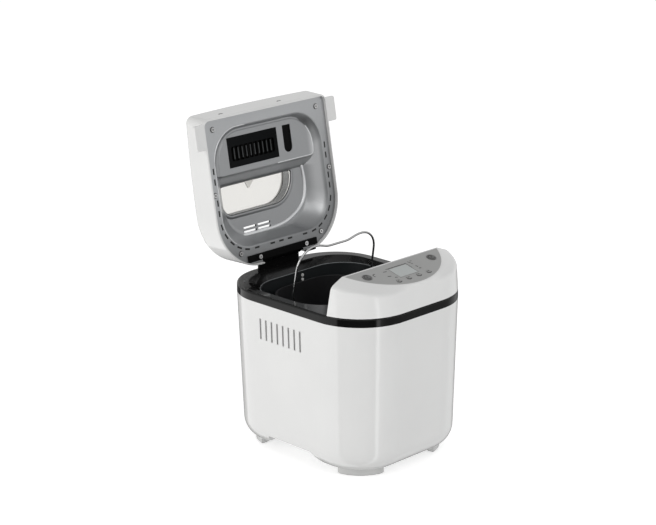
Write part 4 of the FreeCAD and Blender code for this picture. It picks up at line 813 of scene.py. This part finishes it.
def window_ring(grow, z):
    """The window's outline moved outwards, at a height."""
    outline = rounded(
        WINDOW_LEFT - grow, WINDOW_RIGHT + grow, WINDOW_FRONT - grow, WINDOW_REAR + grow,
        [r + grow for r in WINDOW_CORNERS], 10,
    )
    return [(x, y, z) for x, y in outline]


surround = []
for grow, rise in ((0.0, 0.6), (0.0, -0.9), (0.8, -1.5), (2.2, -1.6), (6.2, 0.3)):
    ring = window_ring(grow, POCKET_Z + rise)
    surround.append([(x, max(y, SURROUND_FRONT), z) for x, y, z in ring])
settle(mesh_of([net(surround)]), "window_surround", LID, silver_liner, "lid", 60)
seal = [
    window_ring(grow, POCKET_Z + rise)
    for grow, rise in ((0.05, 0.4), (0.05, -0.6), (-0.9, -0.6), (-0.9, 0.4))
]
settle(mesh_of([hoop(seal)]), "window_seal", LID, print_grey, "lid", 60)
tab_outline = [(-17.8, 26.4), (-28.2, 36.6), (-29.6, 37.3), (-31.0, 36.4), (-35.6, 26.4)]
tab = slab(tab_outline, POCKET_Z - 0.9, POCKET_Z + 0.9, 0.3)
settle(mesh_of([tab]), "window_tab", LID, white_ceramic, "lid")

# Screws: six on the flange, each ringed in dark grey as painted shade of its well, and two on the
# hinge bracket
flange_heads = [
    (side * x, y, FLANGE_Z - 1.4)
    for side in (-1, 1) for x, y in ((102.5, -61), (114, 32), (81, 123.5))
]
bracket_heads = [(side * 46.5, 134.8, FLANGE_Z - 3.4) for side in (-1, 1)]
add_lid_bars(
    "lid_screw_crosses",
    [
        (*head, 25 * i + turn)
        for i, head in enumerate(flange_heads + bracket_heads) for turn in (0, 90)
    ],
    shadow_black,
    {"Length": 0.0036, "Width": 0.0008, "Height": 0.0003, "Round": 0.0001},
)
WELL_R = 3.9
WELL_WIDTH = 0.9
# Dark rings round the flange screws: painted shade of their wells
well_shades = [
    slab(
        band(turn_path(x, y, WELL_R, 0, 352, 30), WELL_WIDTH), FLANGE_Z + 0.2, FLANGE_Z - 0.1
    )
    for x, y, _ in flange_heads
]
settle(mesh_of(well_shades), "screw_well_shades", LID, print_grey, "lid")

steam_spots = [(x, y) for x in (-37, -9) for y in (93, 99)]
# White bars in the steam slots that glow as painted light
add_lid_bars(
    "steam_slot_bars", [(x, y, POCKET_Z + 0.2, 0) for x, y in steam_spots],
    slot_light_white,
    {"Length": 0.0232, "Width": 0.0025, "Height": 0.0008, "Round": 0.0003},
)
add_lid_bars(
    "steam_slot_ends", [(x + 11.4, y + 0.4, POCKET_Z + 0.05, 0) for x, y in steam_spots],
    shadow_black,
    {"Length": 0.0026, "Width": 0.0030, "Height": 0.0008, "Round": 0.0003},
)
skirt = slab(oblong(40.6, 62, 143.6, 146.7), 247.4, 244.75, 0.2)
settle(mesh_of([skirt]), "hinge_skirt", LID, grille_black, "lid")

# Two marks on the lid's leaning front wall, drawn flat and laid on it
FRONT_LEAN = math.tan(math.radians(11.2))
FRONT_FOOT_Y, FRONT_FOOT_Z = -77, 245
MARK_Z = 257.0
on_front = Matrix.Translation(mm(0, FRONT_FOOT_Y + FRONT_FOOT_Z * FRONT_LEAN, 0)) @ Matrix(
    ((1, 0, 0, 0), (0, -FRONT_LEAN, -1, 0), (0, 1, 0, 0), (0, 0, 0, 1))
)
mark = band(turn_path(0, 0, 2.9, 0, 180, 10), 2.6)
marks = [slab([(x + a, MARK_Z + b * 0.6) for a, b in mark], 0, 0.25) for x in (-76.4, 38.1)]
settle(mesh_of(marks), "lid_front_marks", LID @ on_front, print_grey, "lid")


# Console: a softly creased skin in place of the hood, with the panel's printing and key marks

HOOD_BACK = -79
HOOD_LEAN = math.tan(math.radians(9))
CREASE_Z = 285.5
CREASE_FRONT = -143
CREASE_TILT = math.radians(12)
PANEL_HALF = 93
PANEL_RISE = 57.5


def arc_points(a, b, c, steps):
    """Points along the circle through three points, from the first up to the last."""
    a, b, c = Vector(a), Vector(b), Vector(c)
    u = b - a
    v = c - a
    w = u.cross(v)
    if w.length < 1e-9:
        return [a.lerp(c, i / steps) for i in range(steps)]
    across = w.cross(u) * v.length_squared + v.cross(w) * u.length_squared
    centre = a + across / (2 * w.length_squared)
    first = a - centre
    side = w.normalized().cross(first)
    last = c - centre
    angle = math.atan2(last.dot(side), last.dot(first)) % (2 * math.pi)
    turns = [angle * i / steps for i in range(steps)]
    return [centre + first * math.cos(turn) + side * math.sin(turn) for turn in turns]


def ring_points(keys):
    """A whole ring from its right end, right bend, front right point and front middle."""
    right, bend, front_right, apex = keys
    left, left_bend, front_left = [Vector((-q.x, q.y, q.z)) for q in keys[:3]]
    out = arc_points(right, bend, front_right, 22)
    out += arc_points(front_right, apex, front_left, 14)
    out += arc_points(front_left, left_bend, left, 22)
    return out + [left.lerp(right, i / 10) for i in range(10)]


def hood_ring(place, half, y_back, y_front, r):
    """A ring round the hood: straight at its back and its front, round at its corners."""
    x = half - r
    y = y_front + r
    chord = x + math.sqrt(r * r - (y_back - y) ** 2) if y_back < y else half
    middle = (math.atan2(y_back - y, chord - x) - math.pi / 2) / 2
    keys = [
        (chord, y_back, 0), (x + r * math.cos(middle), y + r * math.sin(middle), 0),
        (x, y_front, 0), (0, y_front, 0),
    ]
    return ring_points([place @ Vector(q) for q in keys])


def panel_ring(grow, drop):
    """A ring round the panel's bowed outline, moved outwards and dropped below its face."""
    half = PANEL_HALF + grow
    rise = PANEL_RISE + 2 * grow
    radius = (half * half + rise * rise) / (2 * rise)
    y = grow - rise + radius
    end = math.atan2(grow - y, half)
    split = -math.acos(CORNER_R / 2 / radius)
    keys = [Vector((half, grow, -drop))]
    for angle in ((end + split) / 2, split, -math.pi / 2):
        keys.append(Vector((radius * math.cos(angle), y + radius * math.sin(angle), -drop)))
    place = Matrix.Translation(PANEL_PLACE) @ PANEL_TILT
    return [place @ q for q in ring_points(keys)]


def between(low, high, t):
    """A ring part of the way from one ring to another."""
    return [a.lerp(b, t) for a, b in zip(low, high)]


def add_console_skin():
    """The hood's skin: rings from the collar up over the crease and in to the panel."""
    on_collar = Matrix.Translation((0, 0, COLLAR_TOP))
    inner = hood_ring(on_collar, HALF - 3, HOOD_BACK - 2.5, FRONT + 3, CORNER_R - 3)
    base = hood_ring(on_collar, HALF - 0.3, HOOD_BACK, FRONT + 0.3, CORNER_R - 0.3)
    crease_back = HOOD_BACK - (CREASE_Z - COLLAR_TOP) * HOOD_LEAN
    crease_front = (CREASE_FRONT - crease_back) / math.cos(CREASE_TILT)
    on_crease = Matrix.Translation((0, crease_back, CREASE_Z))
    on_crease = on_crease @ Matrix.Rotation(CREASE_TILT, 4, "X")
    crease = hood_ring(on_crease, HALF, 0, crease_front, CORNER_R)
    top = panel_ring(2.5, 0)
    below = between(crease, base, 0.13)
    above = between(crease, top, 0.26)
    rings = [inner, base]
    rings += [between(base, below, t) for t in (0.06, 0.35, 0.7)]
    for i in range(13):
        t = i / 12
        rings.append(between(between(below, crease, t), between(crease, above, t), t))
    rings += [between(above, top, t) for t in (0.5, 0.95)]
    rings += [between(top, panel_ring(1.6, 0), t) for t in (0.35, 1.0)]
    rings += [panel_ring(0.25, 0), panel_ring(0.2, 0.8), panel_ring(-3, 0.8)]
    piece = settle(
        mesh_of([net([[tuple(q) for q in ring] for ring in rings])]),
        "console_skin", HOUSING, console_white, "housing", 50,
    )
    wall = piece.modifiers.new("wall", "SOLIDIFY")
    wall.thickness = 0.002
    wall.offset = -1
    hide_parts("console_cover")


add_console_skin()

# Printing on the panel's film and on the keys' caps, from below their faces to just above them
FILM_PRINT = (-0.02, 0.12)
CAP_PRINT = (0.78, 0.92)
LARGE_KEY_Y = -16
SMALL_KEY_Y = -43
print_lines = [
    band([(-24, -11.2), (16.9, -11.2), (16.9, -24)], 0.9),
    band([(22.5, -8.6), (25.6, -17.2)], 1.0),
    band([(25.4, -22.5), (26.4, -26.5)], 1.3),
    band(turn_path(-49.7, -17.1, 3.4, 60, 230, 14), 1.3),
    band([(-35.6, -27.4), (-30.2, -28.6)], 1.5),
    band([(-32.6, -15.2), (-26.4, -16.2)], 1.2),
    band([(-27.5, -33.5), (-23.8, -34.8)], 1.3),
    band([(24.4, -30.2), (28.2, -31.2)], 1.4),
    band([(27.0, -9.0), (30.4, -10.0)], 1.1),
]
for x in SMALL_KEYS.values():
    print_lines.append(band(turn_path(x, SMALL_KEY_Y, 4.3, 195, 330, 14), 1.0))
settle(
    mesh_of([slab(outline, *FILM_PRINT) for outline in print_lines]),
    "panel_print", PANEL, print_grey, "housing",
)
for key, x in LARGE_KEYS.items():
    shapes = [
        slab(band(turn_path(x, LARGE_KEY_Y, 4.6, 35, 315, 30), 2.0), *CAP_PRINT),
        slab(turn_path(x, LARGE_KEY_Y, 1.5, 0, 342, 18), *CAP_PRINT),
    ]
    settle(mesh_of(shapes), key + "_mark", PANEL, print_grey, key)
for key, x in SMALL_KEYS.items():
    tick = band([(x - 1.3, -43.4), (x, -42.2), (x + 1.3, -43.4)], 0.8)
    settle(
        mesh_of([slab(tick, *CAP_PRINT)]), key + "_mark", PANEL, print_grey, key
    )
bezel = [
    [(x, y, z) for x, y in oblong(-19.6 - grow, 15.6 + grow, -36.9 - grow, -12.9 + grow)]
    for grow, z in ((0.0, -0.3), (0.0, 0.14), (0.9, 0.14), (0.9, -0.3))
]
settle(mesh_of([hoop(bezel)]), "display_bezel", PANEL, panel_edge, "housing")


# Body: a baffle behind the side vents, grey rims round the vents as painted shade of their walls,
# catches and a stud on the deck, and a bright lip in the oven's mouth as a painted highlight

BAFFLE_X = 115.6
baffle = []
for side in (-1, 1):
    points, faces = slab(oblong(-36, 58, 172, 214), 0, 1.2, 0.4)
    baffle.append(([(side * (BAFFLE_X + out), y, z) for y, z, out in points], faces))
settle(mesh_of(baffle), "vent_baffle", HOUSING, baffle_grey, "housing")

# Grey rims round each side vent: painted shade of the slots' walls
VENT_REAR = 52.5
VENT_PITCH = 11.35
VENT_HALF = 1.25
VENT_LOW, VENT_HIGH = 178, 208
vent_shade_rims = []
for side in (-1, 1):
    for i in range(8):
        middle = VENT_REAR - VENT_PITCH * i
        rings = []
        for grow, out in ((0.7, -0.3), (0.7, 0.06), (-0.02, 0.06), (-0.02, -1.2)):
            outline = oblong(
                middle - VENT_HALF - grow, middle + VENT_HALF + grow,
                VENT_LOW - grow, VENT_HIGH + grow,
            )
            rings.append([
                (side * (HALF - (SHELL_TOP - z) * SHELL_LEAN + out), y, z) for y, z in outline
            ])
        vent_shade_rims.append(hoop(rings))
settle(mesh_of(vent_shade_rims), "vent_shade_rims", HOUSING, baffle_grey, "housing")

DECK_SUNK = COLLAR_TOP - 0.2
catches = [
    slab(band([(-115.8, 61.5), (-115.8, 82)], 2.4), DECK_SUNK, COLLAR_TOP + 0.08),
    slab(band([(-118.4, 29.5), (-118.4, 40)], 1.6), DECK_SUNK, COLLAR_TOP + 0.08),
]
settle(mesh_of(catches), "deck_catches", HOUSING, shadow_black, "housing")
stud = slab(turn_path(-94.5, 113.5, 1.3, 0, 340, 17), DECK_SUNK, COLLAR_TOP + 0.3, 0.2)
settle(mesh_of([stud]), "deck_stud", HOUSING, lip_steel, "housing")

# A lighter steel bead round the oven's mouth: a painted highlight
LIP_Z = 236.2
lip = [(x, y, LIP_Z) for x, y in rounded(-100.5, 100.5, -40, 107, [54] * 4, 18)]
add_bead(
    "oven_lip", lip + lip[:1], 0.0007, lip_steel, matrix=HOUSING, body="housing"
)


# Camera, floor and light


def add_camera():
    """A long lens at the photograph's angle."""
    data = bpy.data.cameras.new("camera")
    data.sensor_width = 36
    data.lens = 110.87
    data.clip_start = 0.05
    data.clip_end = 200
    camera = bpy.data.objects.new("camera", data)
    bpy.context.scene.collection.objects.link(camera)
    azimuth, elevation, roll = (math.radians(a) for a in (-44.955, 17.416, -0.2856))
    away = math.cos(elevation)
    back = Vector((math.sin(azimuth) * away, -math.cos(azimuth) * away, math.sin(elevation)))
    right = Vector((0, 0, 1)).cross(back).normalized()
    up = back.cross(right)
    turned_right = right * math.cos(roll) + up * math.sin(roll)
    turned_up = up * math.cos(roll) - right * math.sin(roll)
    turn = Matrix((turned_right, turned_up, back)).transposed()
    camera.matrix_world = Matrix.Translation(mm(-1954.2, -1949.3, 1130.7)) @ turn.to_4x4()
    bpy.context.scene.camera = camera


def add_floor():
    """A wide pale floor that doesn't show in gloss, where the surroundings do."""
    mesh = bpy.data.meshes.new("floor")
    size = 40.0
    corners = [(x, y, 0) for x, y in oblong(-size, size, -size, size)]
    mesh.from_pydata(corners, [], [(0, 1, 2, 3)])
    floor = bpy.data.objects.new("floor", mesh)
    bpy.context.scene.collection.objects.link(floor)
    finish = Finish("pale_floor").shade(
        base_color=(0.78, 0.78, 0.78),
        roughness=0.9,
        emission_color=(1, 1, 1),
        emission_strength=0.50,
    )
    mesh.materials.append(finish)
    floor.visible_glossy = False


def add_surroundings():
    """Pale surroundings with a darker gap in front, a bright strip beside it and a softer top.

    Directions are degrees about the upright: 0 in front, less to the left, more to the right.
    """
    world = bpy.data.worlds.new("surroundings")
    bpy.context.scene.world = world
    f = Finish("surroundings", world)
    way = f.node("ShaderNodeTexCoord", out="Generated")
    x, y, z = (f.node("ShaderNodeSeparateXYZ", inputs={0: way}, out=i) for i in range(3))
    turn = x.maths("ARCTAN2", x, 0 - y) * (180 / math.pi)
    left = 1 - f.step(turn, -100, -40)
    far_left = 1 - f.step(turn, -95, -90)
    gap = f.step(turn, -95, -90) * (1 - f.step(turn, -16, -13))
    strip = f.step(turn, -14, -12) * (1 - f.step(turn, -7, -5))
    right = f.step(turn, -6, 8)
    far_right = f.step(turn, 60, 80)
    behind = f.step(turn, 96, 116)
    top = f.step(z, 0.25, 0.75)
    low = 1 - f.step(z, -0.20, -0.12)
    above = 0.72 + left * 0.16 - gap * 0.15 + strip * 0.9 + right * 0.07
    above = above * (1 - top) + top * 0.60
    under = 0.78 + far_left * 0.55 - gap * 0.74 + strip * 1.7
    under = under - right * 0.42 + far_right * 0.30 - behind * 0.54
    f.shade(color=(1, 1, 1), strength=above * (1 - low) + under * low)


def add_light(name, place, size, power, colour, aim, mirrored=True):
    """A soft oval panel of light aimed at a point, which gloss may mirror."""
    data = bpy.data.lights.new(name, "AREA")
    data.shape = "ELLIPSE"
    data.size, data.size_y = size
    data.energy = power
    data.color = colour
    light = bpy.data.objects.new(name, data)
    bpy.context.scene.collection.objects.link(light)
    light.location = place
    light.rotation_mode = "QUATERNION"
    light.rotation_quaternion = (Vector(aim) - Vector(place)).to_track_quat("-Z", "Y")
    light.visible_glossy = mirrored


add_camera()
add_floor()
add_surroundings()
add_light(
    "left_panel", (-2.4, 0.3, 0.9), size=(1.6, 1.4), power=11, colour=(1.0, 0.985, 0.96),
    aim=(0, 0, 0.2),
)
add_light(
    "high_panel", (-0.95, -1.5, 2.1), size=(1.3, 1.0), power=5, colour=(1.0, 0.995, 0.985),
    aim=(0, 0, 0.3),
)
add_light(
    "right_panel", (2.3, 0.1, 0.9), size=(0.7, 1.5), power=9, colour=(1.0, 1.0, 1.0),
    aim=(0, 0, 0.35), mirrored=False,
)
scene = bpy.context.scene
scene.view_settings.view_transform = "Standard"
scene.view_settings.look = "None"
